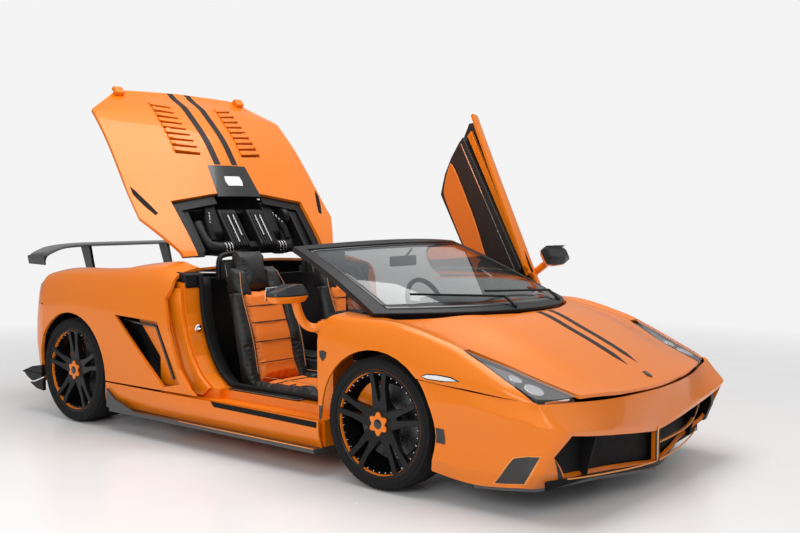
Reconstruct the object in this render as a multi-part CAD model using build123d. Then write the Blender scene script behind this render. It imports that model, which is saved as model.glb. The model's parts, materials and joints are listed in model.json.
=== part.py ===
"""Open two-seat mid-engined sports car, as separate named pieces, in millimetres.

X points forward, Y to the car's left, Z up. The origin is on the ground, midway along the car.
The car stands with its left door swung up and its engine cover raised; the right door is missing.
"""

from build123d import *
from math import cos, radians, sin
import os

# ---------------------------------------------------------------- driving dimensions
FRONT_AXLE_X = 1180.0
WHEELBASE = 2560.0
REAR_AXLE_X = FRONT_AXLE_X - WHEELBASE

FRONT_TYRE_R, FRONT_TYRE_W, FRONT_WHEEL_Y = 325.0, 235.0, 812.0
REAR_TYRE_R, REAR_TYRE_W, REAR_WHEEL_Y = 332.0, 300.0, 790.0
RIM_FLANGE_R = 268.0
RIM_WALL = 9.0
DISC_R, DISC_W = 185.0, 32.0
HUB_R = 75.0
AXLE_R = 24.0
FRONT_ARCH_R, REAR_ARCH_R = 362.0, 372.0

SKIN = 20.0           # body panel thickness
SHUT_GAP = 5.0        # gap between neighbouring panels
SEAT = 0.3            # gap where one piece sits against another
ENGINE_BASE_Z = 265.0

DOOR_FRONT_X = 792.0
DOOR_BOTTOM_Z = 300.0
DOOR_TRIM = 62.0      # depth of the door's inner half
BELT_Y = 800.0        # inner edge of the doors' top
DOOR_HINGE = (950.0, 870.0, 700.0)
DOOR_AXIS = (0.158, 1.0, -0.25)
DOOR_RAISED = 58.0    # degrees from shut to the raised stop

COVER_HINGE = (-545.0, 0.0, 1078.0)
COVER_RAISED = 57.0   # degrees from shut to the raised stop
COVER_WALL = 26.0

LID_HINGE = (1184.0, 0.0, 802.0)
LID_PIN_R = 5.0

FLOOR_Z, FLOOR_T = 128.0, 24.0
SILL_TOP_Z = 338.0

# ---------------------------------------------------------------- body sections
# Each station: x at the side, how far the middle bows ahead of the side, then the half section
# from the skirt's lower edge up and in to the middle, as (y, z).
STATIONS = (
    # x, bow, skirt, sill crease, lower line, middle, waist, crest, deck edge, deck, middle line
    (-1845, -295, (815, 300), (840, 350), (866, 440), (880, 580), (874, 715), (830, 860), (786, 872),
     (430, 886), (0, 890)),
    (-1790, -190, (868, 262), (895, 315), (912, 410), (922, 570), (916, 720), (862, 885), (812, 902),
     (440, 905), (0, 898)),
    (-1700, -60, (895, 205), (922, 265), (938, 375), (946, 560), (940, 722), (894, 922), (844, 942),
     (440, 970), (0, 985)),
    (-1380, 0, (905, 155), (935, 235), (947, 365), (952, 560), (950, 740), (900, 958), (852, 982),
     (450, 1022), (0, 1050)),
    (-1010, 0, (905, 152), (935, 236), (945, 362), (950, 560), (946, 735), (898, 958), (852, 994),
     (450, 1034), (0, 1052)),
    (-600, 0, (905, 150), (935, 238), (940, 355), (944, 560), (934, 730), (890, 960), (838, 1022),
     (450, 1058), (0, 1074)),
    (-450, 0, (905, 149), (935, 239), (936, 352), (936, 560), (926, 722), (886, 942), (826, 994),
     (450, 1040), (0, 1050)),
    (0, 0, (905, 148), (932, 240), (922, 346), (926, 560), (922, 705), (888, 900), (814, 940), (450, 960),
     (0, 965)),
    (450, 0, (905, 148), (930, 240), (918, 346), (926, 560), (924, 695), (892, 860), (808, 893),
     (450, 920), (0, 925)),
    (800, 0, (905, 149), (930, 238), (928, 350), (934, 560), (934, 688), (900, 828), (806, 848),
     (450, 890), (0, 900)),
    (1180, 0, (905, 155), (928, 235), (940, 360), (950, 560), (944, 690), (880, 826), (800, 822),
     (450, 868), (0, 880)),
    (1560, 0, (895, 165), (915, 222), (928, 335), (945, 500), (938, 612), (868, 752), (795, 742),
     (440, 802), (0, 824)),
    (1740, 10, (888, 168), (905, 218), (917, 322), (936, 470), (930, 585), (862, 682), (775, 676),
     (430, 728), (0, 748)),
    (1900, 40, (876, 170), (894, 214), (906, 312), (924, 440), (920, 560), (872, 604), (740, 606),
     (400, 644), (0, 662)),
    (2050, 160, (850, 172), (866, 210), (878, 300), (892, 420), (890, 500), (872, 534), (640, 536),
     (330, 522), (0, 514)),
)
HALF_WIDTH = 900.0    # where the bow has faded out

# The nose panel below the front lid: columns round the corner from the wheel arch to the middle.
# Each column holds the lip, low crease, lower, upper crease and top edge, as (x, y, z).
BUMPER_COLUMNS = (
    ((1440, 898, 152), (1440, 932, 212), (1440, 928, 325), (1440, 946, 465), (1440, 938, 572)),
    ((1740, 900, 124), (1740, 925, 198), (1740, 922, 315), (1740, 948, 487), (1740, 931, 548)),
    ((1900, 900, 138), (1900, 922, 205), (1900, 924, 318), (1900, 938, 462), (1900, 916, 536)),
    ((1988, 892, 148), (2010, 914, 215), (2032, 922, 312), (2052, 914, 440), (2010, 903, 531)),
    ((2012, 800, 130), (2088, 872, 222), (2112, 890, 300), (2186, 850, 417), (2062, 893, 526)),
    ((2038, 620, 122), (2112, 690, 195), (2160, 712, 300), (2202, 700, 396), (2112, 700, 511)),
    ((2088, 400, 118), (2142, 440, 180), (2178, 455, 290), (2210, 460, 366), (2168, 450, 498)),
    ((2150, 210, 111), (2180, 210, 165), (2194, 210, 270), (2208, 210, 328), (2198, 210, 493)),
    ((2192, 0, 102), (2197, 0, 148), (2197, 0, 250), (2199, 0, 306), (2206, 0, 491)),
)
BUMPER_WALL = 20.0

# The tail panel: columns round the corner from behind the rear wheel to the middle, the same way.
TAIL_COLUMNS = (
    ((-1700, 925, 205), (-1700, 938, 320), (-1700, 944, 450), (-1700, 944, 600), (-1700, 936, 732)),
    ((-1790, 895, 252), (-1794, 908, 340), (-1800, 918, 470), (-1798, 918, 615), (-1792, 912, 741)),
    ((-1846, 862, 258), (-1856, 876, 345), (-1866, 884, 475), (-1864, 882, 620), (-1852, 874, 741)),
    ((-1905, 800, 262), (-1925, 812, 350), (-1938, 818, 478), (-1934, 814, 628), (-1896, 806, 851)),
    ((-1975, 690, 266), (-1996, 700, 350), (-2012, 705, 480), (-2008, 702, 635), (-1967, 690, 855)),
    ((-2070, 440, 270), (-2096, 445, 350), (-2112, 450, 482), (-2106, 450, 640), (-2067, 440, 865)),
    ((-2105, 0, 275), (-2132, 0, 350), (-2148, 0, 485), (-2142, 0, 645), (-2137, 0, 869)),
)
PLATE_PAD = ((-2166, -270, 402), (-2128, 270, 512))
PLATE_HOLES_Y, PLATE_HOLES_Z, PLATE_HOLE_R = (-230, 230), (417, 497), 3.0
TOW_Y, TOW_Z, TOW_BOSS_R, TOW_HOLE_R, TOW_DEPTH = 560.0, 330.0, 20.0, 8.0, 60.0
JACK_XS, JACK_Y, JACK_Z = (-500, 640), 760.0, 118.0


# ---------------------------------------------------------------- helpers
def vec(p):
    return Vector(*p)


def polygon(points):
    return Face(Wire.make_polygon([vec(p) for p in points], close=True))


def prism(points, start, end, axis="Z"):
    """An upright slab of an outline: points are (x, y) for Z, (x, z) for Y, (y, z) for X."""
    if axis == "Z":
        return Solid.extrude(polygon([(a, b, start) for a, b in points]), Vector(0, 0, end - start))
    if axis == "Y":
        return Solid.extrude(polygon([(a, start, b) for a, b in points]), Vector(0, end - start, 0))
    return Solid.extrude(polygon([(start, a, b) for a, b in points]), Vector(end - start, 0, 0))


def block(low, high):
    size = [h - l for l, h in zip(low, high)]
    return Solid.make_box(*size).translate(Vector(*low))


def rod(start, end, radius):
    """A round bar between two points."""
    a, b = vec(start), vec(end)
    return Solid.make_cylinder(radius, (b - a).length, Plane(origin=a, z_dir=b - a))


def drum(x, z, radius, y0, y1):
    """A round body whose axis runs across the car."""
    return rod((x, y0, z), (x, y1, z), radius)


def pieces(shape):
    """The solids of any result, as a list."""
    if shape is None:
        return []
    if isinstance(shape, (list, tuple)):
        return [s for item in shape for s in pieces(item)]
    return list(shape.solids())


def cut(shapes, *tools):
    out = []
    for shape in pieces(shapes):
        got = shape
        for tool in tools:
            got = got - tool if not isinstance(got, (list, tuple)) else [g - tool for g in got]
        out += pieces(got)
    return out


def common(shapes, tool):
    out = []
    for shape in pieces(shapes):
        out += pieces(shape & tool)
    return out


def fuse(shapes):
    items = pieces(shapes)
    result = items[0]
    for item in items[1:]:
        result = result + item
    return pieces(result)


def mirror_y(shapes):
    return [s.mirror(Plane.XZ) for s in pieces(shapes)]


def shell_from_grids(outer, inner, keep=None):
    """A closed solid between two matching point grids, leaving out the cells that keep refuses."""
    rows, cols = len(outer) - 1, len(outer[0]) - 1
    wanted = {(i, j) for i in range(rows) for j in range(cols) if keep is None or keep(i, j)}
    faces = []

    def add(*corners):
        a, b, c, d = corners
        for tri in ((a, b, c), (a, c, d)):
            faces.append(polygon(tri))

    for i, j in wanted:
        ring = ((i, j), (i + 1, j), (i + 1, j + 1), (i, j + 1))
        add(*[outer[m][n] for m, n in ring])
        add(*[inner[m][n] for m, n in ring])
        sides = (((i, j), (i + 1, j), (i, j - 1)), ((i + 1, j), (i + 1, j + 1), (i + 1, j)),
                 ((i + 1, j + 1), (i, j + 1), (i, j + 1)), ((i, j + 1), (i, j), (i - 1, j)))
        for (m, n), (p, q), neighbour in sides:
            if neighbour not in wanted:
                add(outer[m][n], outer[p][q], inner[p][q], inner[m][n])
    solid = Solid(Shell(faces))
    return solid if solid.volume > 0 else Solid(Shell([-f for f in faces]))


def grid_normals(grid):
    """Outward unit normals at a grid's points, from the cells around each."""
    rows, cols = len(grid), len(grid[0])
    out = []
    for i in range(rows):
        line = []
        for j in range(cols):
            a = vec(grid[min(i + 1, rows - 1)][j]) - vec(grid[max(i - 1, 0)][j])
            b = vec(grid[i][min(j + 1, cols - 1)]) - vec(grid[i][max(j - 1, 0)])
            line.append(a.cross(b).normalized())
        out.append(line)
    return out


def offset_grid(grid, depth, outward=1):
    """The grid pushed in by depth along its normals."""
    normals = grid_normals(grid)
    return [[tuple(vec(p) - n * (depth * outward)) for p, n in zip(line, ns)]
            for line, ns in zip(grid, normals)]


def lerp(a, b, t):
    return a + (b - a) * t


# ---------------------------------------------------------------- the body's master surface
def section(x0, bow, *half):
    """One full section, right skirt over the middle to the left skirt."""
    def point(y, z):
        return (x0 + bow * (1 - min(abs(y) / HALF_WIDTH, 1) ** 2), y, z)
    left = [point(y, z) for y, z in half]
    right = [point(-y, z) for y, z in half[:-1]]
    return right + left[::-1]


BODY_GRID = [section(*row) for row in STATIONS]
SKIN_GRID = offset_grid(BODY_GRID, SKIN)


# ---------------------------------------------------------------- outlines of the body's panels
# Half outlines in plan (x, y), for the left side.
LID_HALF = ((1540, 0), (1520, 200), (1448, 400), (1335, 600), (1188, 786), (1420, 786), (1628, 800),
            (1842, 713), (2150, 640), (2260, 0))
LAMP_HALF = ((1650, 846), (1668, 861), (2052, 882), (2160, 655), (1850, 721))
FENDER_HALF = ((797, 800), (1185, 792), (1424, 792), (1640, 806), (1655, 867), (2046, 889),
               (2046, 1000), (797, 1000))
COVER_HALF = ((-560, 664), (-600, 672), (-862, 838), (-1080, 836), (-1730, 805), (-1940, 519),
              (-1962, 0))
COVER_MOUTH = ((-500, 556), (-975, 574), (-1025, 205))
QUARTER_HALF = ((-410, 690), (-552, 676), (-600, 682), (-858, 848), (-1082, 846), (-1738, 816),
                (-1952, 528), (-2300, 528), (-2300, 1000), (-410, 1000))
PILLAR_NOTCH = ((560, 700), (900, 700), (900, 862), (760, 862))


def hinge_arc(radius):
    """The shut line above the hinge: a round stretch about the door's hinge point, (x, z)."""
    return [(DOOR_HINGE[0] - radius * cos(radians(a)), DOOR_HINGE[2] + radius * sin(radians(a)))
            for a in (0, 12, 24, 36, 48, 56)]


# Outlines seen from the side (x, z).
DOOR_SIDE = ((DOOR_FRONT_X, DOOR_BOTTOM_Z), *hinge_arc(DOOR_HINGE[0] - DOOR_FRONT_X), (861, 1200),
             (-405, 1200),
             (-405, 905), (-448, 840), (-400, 665), (-310, 443), (-215, 335), (-120, DOOR_BOTTOM_Z))
TRIM_SIDE = ((735, 392), (735, 1200), (-352, 1200), (-352, 900), (-340, 760), (-312, 640),
             (-262, 520), (-215, 452), (-170, 392))
QUARTER_SIDE = ((-170, 306), (-1695, 306), (-1695, 742), (-2300, 756), (-2300, 1300), (-410, 1300),
                (-410, 904), (-453, 840), (-405, 665), (-315, 443), (-222, 337))
FENDER_SIDE = ((DOOR_FRONT_X + SHUT_GAP, 306), (1180, 306), (1180, 578), (1440, 578), (1560, 567),
               (1740, 556),
               (1900, 541), (2010, 529), (2100, 524), (2100, 1100), (880, 1100), (880, 836),
               *reversed(hinge_arc(DOOR_HINGE[0] - DOOR_FRONT_X - SHUT_GAP)))
SILL_SIDE = ((-1380, 100), (797, 100), (797, 295), (-160, 295), (-1380, 300))
INTAKE_SIDE = ((-905, 722), (-508, 704), (-300, 356), (-450, 326))
JAMB_SIDE = ((-540, 152), (-60, 152), (-60, 344), (-102, 344), (-198, 412), (-270, 514), (-320, 636),
             (-348, 758), (-360, 900), (-364, 932), (-540, 950))


def half(points, height=2000):
    return prism(points, -100, height)


def whole(points):
    """A plan outline and its mirror image as one slab."""
    left = list(points)
    right = [(x, -y) for x, y in reversed(points) if y != 0]
    return prism(left + right, -100, 2500)


def side_slab(points, y0=0, y1=1300):
    return prism(points, y0, y1, "Y")


FRONT_ARCH = drum(FRONT_AXLE_X, FRONT_TYRE_R, FRONT_ARCH_R, 560, 1200)
REAR_ARCH = drum(REAR_AXLE_X, REAR_TYRE_R, REAR_ARCH_R, 560, 1200)


def raise_door(shapes):
    hinge = Axis(DOOR_HINGE, DOOR_AXIS)
    return [s.rotate(hinge, DOOR_RAISED) for s in pieces(shapes)]


def raise_cover(shapes):
    hinge = Axis(COVER_HINGE, (0, 1, 0))
    return [s.rotate(hinge, COVER_RAISED) for s in pieces(shapes)]


# ---------------------------------------------------------------- body panels
def body_panels():
    skin = shell_from_grids(BODY_GRID, SKIN_GRID)
    fender = cut(common(common(skin, half(FENDER_HALF)), side_slab(FENDER_SIDE)), FRONT_ARCH)
    quarter = cut(common(common(skin, half(QUARTER_HALF)), side_slab(QUARTER_SIDE)), REAR_ARCH,
                  side_slab(INTAKE_SIDE, 700))
    sill = cut(common(skin, side_slab(SILL_SIDE, 700)), REAR_ARCH, FRONT_ARCH)
    lamp = common(common(skin, half(LAMP_HALF)), block((1600, 0, 536), (2300, 1000, 900)))
    tail = common(skin, whole(((-1982, 528 - SEAT), (-2300, 528 - SEAT))))
    lid = common(common(skin, whole(LID_HALF)), block((1000, -900, 450), (2300, 900, 2000)))
    eye = fuse([drum(LID_HINGE[0], LID_HINGE[2], 11, 764, 780), block((1184, 764, 791), (1240, 780, 812))])
    eye = cut(eye, drum(LID_HINGE[0], LID_HINGE[2], LID_PIN_R + RUNNING_FIT, 700, 800))
    return {
        "front_lid": fuse(lid + eye + mirror_y(eye)),
        "fender_left": fender,
        "fender_right": mirror_y(fender),
        "quarter_left": quarter,
        "quarter_right": mirror_y(quarter),
        "side_sills": sill + mirror_y(sill),
        "headlamp_lenses": lamp + mirror_y(lamp),
        "tail_deck": tail,
    }


def door():
    stations = [row for row in STATIONS if -1100 < row[0] < 1300]
    grid = [section(*row) for row in stations]
    skin = shell_from_grids(grid, offset_grid(grid, SKIN))
    lining = shell_from_grids(offset_grid(grid, SKIN + 0.5), offset_grid(grid, SKIN + DOOR_TRIM))
    outer = cut(common(skin, side_slab(DOOR_SIDE, BELT_Y)), half(PILLAR_NOTCH))
    inner = cut(common(lining, side_slab(TRIM_SIDE, BELT_Y - 12)), half(PILLAR_NOTCH))
    bend = [(950, 718), (930, 668), (850, 618), (700, 608), (700, 572), (858, 580), (965, 650), (982, 700)]
    arm = fuse([prism(bend, *DOOR_ARM_YS, "Y"), drum(DOOR_HINGE[0], DOOR_HINGE[2], 30, *DOOR_ARM_YS),
                block((690, DOOR_ARM_YS[0], 574), (730, 870, 606))])
    inner = cut(fuse(inner + arm), door_pin(DOOR_PIN_R + RUNNING_FIT, 200))
    return raise_door(outer), raise_door(inner)


DOOR_ARM_YS, DOOR_PIN_R = (818.0, 842.0), 12.0


def door_pin(radius, reach):
    """A rod on the door's axis, from reach inboard of the hinge point to reach outboard."""
    centre, along = vec(DOOR_HINGE), vec(DOOR_AXIS).normalized()
    return rod(tuple(centre - along * reach), tuple(centre + along * reach), radius)


def engine_cover():
    stations = [row for row in STATIONS if row[0] < 100]
    grid = [section(*row) for row in stations]
    slab = shell_from_grids(grid, offset_grid(grid, COVER_WALL))
    lid = common(common(slab, whole(COVER_HALF)), prism(((-2200, -900), (0, -900), (0, 900),
                 (-2200, 900)), 860, 2000))
    mouth = whole(COVER_MOUTH)
    shell = cut(lid, mouth, whole(((-1000, 190), (-1250, 165))))
    shell = cut(shell, *louvre_slots())
    eye_x, eye_z = COVER_HINGE[0], COVER_HINGE[2]
    eyes = [fuse([drum(eye_x, eye_z, 18, *EYE_YS), prism(((-530, 1064), (-566, 1026), (-625, 1026),
                                                          (-560, 1090)),
                                                         *EYE_YS, "Y")])]
    eyes = cut(eyes, drum(eye_x, eye_z, COVER_PIN_R + RUNNING_FIT, 500, 700))
    shell = fuse(shell + eyes + mirror_y(eyes))
    panel = common(common(lid, whole(((-1000 - SEAT, 190 - SEAT), (-1250 + SEAT, 165 - SEAT)))),
                   prism(((-2200, -900), (0, -900),
                   (0, 900), (-2200, 900)), 860, 2000))
    return raise_cover(shell), raise_cover(panel)


EYE_YS, COVER_PIN_R = (572.0, 598.0), 8.0
LOUVRES = 9
LOUVRE_FIRST_X, LOUVRE_PITCH, LOUVRE_SLOT = -1330.0, 52.0, 22.0


def louvre_slots():
    slots = []
    for k in range(LOUVRES):
        x = LOUVRE_FIRST_X - k * LOUVRE_PITCH
        inner = 180 + k * 3
        outer = 372 - k * 3
        for side in (1, -1):
            outline = [(x, side * inner), (x - LOUVRE_SLOT, side * inner),
                       (x - LOUVRE_SLOT - 18, side * outer), (x - 18, side * outer)]
            slots.append(prism(outline if side > 0 else outline[::-1], 700, 1300))
    return slots


def wrap_grid(columns):
    """The corner panel's outer points: columns from the wheel to the middle and on to the right."""
    return [list(column) for column in columns] + [[(x, -y, z) for x, y, z in column]
                                                   for column in reversed(columns[:-1])]


GRILLE_HALF = ((26, 286), (455, 338), (690, 372), (806, 392), (858, 296), (690, 172), (440, 158), (26, 138))


def front_bumper():
    grid = wrap_grid(BUMPER_COLUMNS)
    shell = shell_from_grids(grid, offset_grid(grid, BUMPER_WALL, NOSE_SIDE))
    mouths = [prism(GRILLE_HALF, 2020, 2400, "X"),
              prism([(-y, z) for y, z in reversed(GRILLE_HALF)], 2020, 2400, "X")]
    arches = [FRONT_ARCH] + mirror_y(FRONT_ARCH)
    return cut(shell, *mouths, *arches)


NOSE_SIDE, TAIL_SIDE = -1, 1


def rear_bumper():
    grid = wrap_grid(TAIL_COLUMNS)
    shell = shell_from_grids(grid, offset_grid(grid, BUMPER_WALL, TAIL_SIDE))
    arches = [REAR_ARCH] + mirror_y(REAR_ARCH)
    lamp_cut = prism(LAMP_SLOT, -2300, -1700, "X")
    pipes = [rod((-2300, y, EXHAUST_Z), (-1900, y, EXHAUST_Z), EXHAUST_R + 6) for y in EXHAUST_YS]
    screws = [rod((-2300, y, z), (-2000, y, z), PLATE_HOLE_R) for y in PLATE_HOLES_Y for z in PLATE_HOLES_Z]
    eye = rod((-2300, TOW_Y, TOW_Z), (-1900, TOW_Y, TOW_Z), TOW_BOSS_R + 4)
    return cut(fuse([shell, block(*PLATE_PAD)]), *arches, lamp_cut, *mirror_y(lamp_cut), *pipes, *screws, eye)


LAMP_SLOT = ((330, 655), (330, 738), (735, 715), (735, 640))
SPLITTER_T = 14.0


def splitter():
    """A thin plate under the nose panel's lip, following its line from side to side."""
    lip = [column[0] for column in wrap_grid(BUMPER_COLUMNS[1:])]
    top = [[(x, y, z - SEAT), (lerp(1640, x, 0.2), y * 0.94, z - SEAT)] for x, y, z in lip]
    low = [[(x, y, z - SPLITTER_T) for x, y, z in line] for line in top]
    return pieces(shell_from_grids(top, low))


def nose_x(y, level):
    """How far forward a level of the nose panel lies at a distance from the middle."""
    line = [(column[level][1], column[level][0]) for column in BUMPER_COLUMNS[3:]]
    for (ya, xa), (yb, xb) in zip(line, line[1:]):
        if yb <= y <= ya:
            return lerp(xa, xb, (ya - y) / (ya - yb))
    return line[0][1]


MESH_SETBACK, MESH_T, MESH_LOW, MESH_TOP = 40, 10, 130, 400
BLADE_T, BLADES_HALF = 12, (0, 560)


def grilles():
    """Dark mesh behind the nose openings, with the upright blades that cross it."""
    line = [(nose_x(y, 1) - MESH_SETBACK, y) for y in (800, 690, 440, 210, 0)]
    line += [(x, -y) for x, y in reversed(line[:-1])]
    sheet = prism(line + [(x - MESH_T, y) for x, y in reversed(line)], MESH_LOW, MESH_TOP)
    out = [sheet]
    for y in BLADES_HALF:
        low, top = nose_x(y, 1), nose_x(y, 3)
        blade = prism(((low - MESH_SETBACK - 4, 150), (low - 12, 150), (top - 24, 392),
                       (low - MESH_SETBACK - 4, 392)),
                      y - BLADE_T / 2, y + BLADE_T / 2, "Y")
        out += [blade] if y == 0 else [blade] + mirror_y(blade)
    return fuse(out)


# ---------------------------------------------------------------- windscreen and glass
SCREEN_BASE_Y, SCREEN_TOP_Y = 842.0, 722.0
SCREEN_BASE = (1532.0, 442.0, 848.0)      # x in the middle, how far the corners trail, z
SCREEN_TOP = (520.0, 110.0, 1186.0)
SCREEN_BULGE = 16.0
FRAME_DEPTH, GLASS_T = 34.0, 6.0
SCREEN_U = (-1, -0.925, -0.75, -0.5, -0.25, 0, 0.25, 0.5, 0.75, 0.925, 1)
SCREEN_V = (0, 0.05, 0.3, 0.6, 0.93, 1)


def screen_point(u, v, depth=0.0):
    """A point of the windscreen: u across from right to left, v from base to top."""
    x0, trail0, z0 = SCREEN_BASE
    x1, trail1, z1 = SCREEN_TOP
    x = lerp(x0 - trail0 * u * u, x1 - trail1 * u * u, v)
    y = u * lerp(SCREEN_BASE_Y, SCREEN_TOP_Y, v)
    z = lerp(z0, z1 - 26 * u * u, v) + SCREEN_BULGE * 4 * v * (1 - v)
    return (x - depth * 0.32, y * (1 - depth / 2600), z - depth * 0.95)


def screen_grid(us, vs, depth):
    return [[screen_point(u, v, depth) for v in vs] for u in us]


def windscreen():
    last_u, last_v = len(SCREEN_U) - 2, len(SCREEN_V) - 2
    frame = shell_from_grids(screen_grid(SCREEN_U, SCREEN_V, 0), screen_grid(SCREEN_U, SCREEN_V, FRAME_DEPTH),
                             lambda i, j: i in (0, last_u) or j in (0, last_v))
    us = [max(min(u, 0.9247), -0.9247) for u in SCREEN_U[1:-1]]
    vs = [0.0503] + list(SCREEN_V[2:-2]) + [0.9297]
    glass = shell_from_grids(screen_grid(us, vs, 6), screen_grid(us, vs, 6 + GLASS_T))
    return pieces(frame), pieces(glass)


def quarter_glass():
    pane = prism(((830, DASH_TOP_Z + SEAT), (830, 968), (1000, 884), (1000, DASH_TOP_Z + SEAT)), 750, 756,
                 "Y")
    return pieces(pane) + mirror_y(pane)


# ---------------------------------------------------------------- structure
FLOOR_EDGE_Y = 652.0 - SEAT
BAY_FLOOR_Z = FLOOR_Z + 14       # top of the thinner floors ahead of and behind the cabin


def both_sides(low, high):
    """A block and its mirror image."""
    made = block(low, high)
    return [made] + mirror_y(made)


def floor_pan():
    """Cabin floor, the thinner floors ahead and behind, and the tunnel."""
    edge = FLOOR_EDGE_Y
    floor = prism(((-540, -edge), (815, -edge), (850, -512), (1110, -512), (1110, 512), (850, 512),
                   (815, edge), (-540, edge)), FLOOR_Z, FLOOR_Z + FLOOR_T)
    rear_floor = block((-1900, -560, FLOOR_Z), (-540, 560, BAY_FLOOR_Z))
    front_floor = block((1110, -470, FLOOR_Z), (2040, 470, BAY_FLOOR_Z))
    tunnel = block((-516 + SEAT, -125, FLOOR_Z + FLOOR_T), (1086 - SEAT, 125, 300))
    return fuse([floor, rear_floor, front_floor, tunnel])


def footwell():
    """The walls round the feet and the inner walls of the front wheel wells."""
    seat_z = FLOOR_Z + FLOOR_T + SEAT
    walls = [block((1086, -512, seat_z), (1110, 512, 770))]
    walls += both_sides((815, 490, seat_z), (1110, 512, 770))
    walls += both_sides((1110, 490, seat_z), (1420, 512, 560))
    walls += both_sides((815, 490, seat_z), (838, 640, 770))
    return fuse(walls)


def engine_bay():
    """Bulkhead behind the seats, and the walls on three sides of the engine."""
    seat_z = BAY_FLOOR_Z + SEAT
    walls = [block((-540, -FLOOR_EDGE_Y, FLOOR_Z + FLOOR_T + SEAT), (-516, FLOOR_EDGE_Y, 940))]
    walls += both_sides((-1800, 590, seat_z), (-540, 602, 820))
    walls += both_sides((-1800, 500 + SEAT, seat_z), (-545, 602, seat_z + 14))
    walls += [block((-1812, -602, seat_z), (-1800, 602, 760))]
    rails = both_sides((-1812, 440 - SEAT, 0), (-1800, 500 + SEAT, 262 + SEAT))
    return cut(fuse(walls), *rails)


def frame_rails():
    """Rails under the nose and the engine, with the beams across them and the bumpers' stays."""
    seat_z = BAY_FLOOR_Z + SEAT
    front = both_sides((1110 + SEAT, 400, seat_z), (2040, 460, 262)) + [block((2040, -520, 150),
                                                                              (2062, 520, 262))]
    stays = [fuse([block((2000, 402, 262 + SEAT), (2040, 458, 396)),
                   block((2000, 402, 356), (2170, 458, 396))])]
    rear = both_sides((-1940, 440, seat_z), (-540 - SEAT, 500, 262))
    for x in (-1230, -790):
        rear.append(block((x, -441, seat_z), (x + 60, 441, ENGINE_BASE_Z - SEAT)))
    rear += both_sides((-1940, 440, 200), (-1880, 500, 540)) + both_sides((-2096, 440, 490),
                                                                          (-1880, 500, 540))
    boss = rod((-1900, TOW_Y, TOW_Z), (-2050, TOW_Y, TOW_Z), TOW_BOSS_R)
    rear += [boss, block((-1940, 450, TOW_Z - 30), (-1890, TOW_Y + TOW_BOSS_R, TOW_Z + 30))]
    socket = rod((-2050 + TOW_DEPTH, TOW_Y, TOW_Z), (-2060, TOW_Y, TOW_Z), TOW_HOLE_R)
    return fuse(front) + pieces(stays) + mirror_y(stays) + cut(fuse(rear), socket)


def side_structure():
    """The painted sill steps and the pillars behind the door openings."""
    step = prism(((652, 152), (884, 152), (884, 286), (806, 290), (800, SILL_TOP_Z), (652, SILL_TOP_Z)),
                 -540, 800, "X")
    step = cut(step, FRONT_ARCH)
    jamb = side_slab(JAMB_SIDE, 652, 842)
    post = block((700, 652, 152), (785, 806, 790))
    bracket = block((780, 782, 665), (985, 806, 745))
    pin = common(door_pin(DOOR_PIN_R, 95), block((700, 790, 600), (1100, DOOR_ARM_YS[1] + 6, 800)))
    web = block((-500, 880, 200), (700, 915, 230))
    pads = [block((x - 30, JACK_Y - 30, JACK_Z), (x + 30, JACK_Y + 30, 153)) for x in JACK_XS]
    left = fuse([step[0], jamb, post, web] + pads)
    left = cut(left, FRONT_ARCH, prism(((797, 200), (900, 200), (900, 900), (797, 900)), 600, 900, "Y"))
    left = fuse(left + [bracket] + pin)
    return left + mirror_y(left)


def luggage_tub():
    outer = block((1125, -440, FLOOR_Z + 14 + SEAT), (1800, 440, 655))
    inner = block((1140, -385, 290), (1785, 385, 900))
    rails = both_sides((1100, 392, 0), (2100, 470, 268))
    return cut(outer, inner, *rails)


DASH_TOP_Z = 820.0


def dashboard():
    top = prism(((640, 630), (818, 640), (818, 760), (1060, 760), (1105, 740), (1330, 590), (1440, 400),
                 (1496, 200),
                 (1506, 0), (1496, -200), (1440, -400), (1330, -590), (1105, -740), (1060, -760),
                 (818, -760), (818, -640), (640, -630)), 780, DASH_TOP_Z)
    body = prism(((640, DASH_TOP_Z), (590, 770), (600, 640), (700, 560), (808, 560), (808, DASH_TOP_Z)),
                 -640, 640, "Y")
    lugs = [block((1090, 736, 786), (1195, 752, 803)), drum(LID_HINGE[0], LID_HINGE[2], LID_PIN_R, 745, 782)]
    return fuse([top, body] + lugs + mirror_y(lugs))


def console():
    ramp = prism(((-440, 300 + SEAT), (560, 300 + SEAT), (690, 420), (720, 560 - SEAT), (640, 560 - SEAT),
                  (520, 400),
                  (-440, 380)),
                 -105, 105, "Y")
    lever = rod((250, 0, 395), (262, 0, 470), 9)
    knob = Solid.make_sphere(24).translate(Vector(264, 0, 482))
    return fuse([ramp, lever, knob])


def seat(y):
    """One closed solid: cushion and back, leaning on the floor rails."""
    cushion = prism(((-80, 200), (400, 212), (470, 262), (476, 322), (420, 352), (60, 330), (-40, 340)),
                    y - 235, y + 235, "Y")
    back = prism(((-80, 200), (-40, 340), (-120, 620), (-225, 900), (-290, 1080), (-330, 1108),
                  (-382, 1092), (-384, 1040), (-330, 860), (-250, 600), (-190, 300)), y - 225, y + 225, "Y")
    rails = [block((-60, y + s * 180 - 15, FLOOR_Z + FLOOR_T), (380, y + s * 180 + 15, 216)) for s in (1, -1)]
    notches = [prism(((-150, 860), (-500, 860), (-500, 1200), (-150, 1200)), y + s * 150, y + s * 260, "Y")
               if s > 0 else prism(((-150, 860), (-500, 860), (-500, 1200), (-150, 1200)), y - 260,
                                   y - 150, "Y")
               for s in (1, -1)]
    return cut(fuse([cushion, back] + rails), *notches)


STEERING_CENTRE = (470.0, 372.0, 770.0)
STEERING_R, STEERING_TILT = 178.0, 24.0


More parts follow.
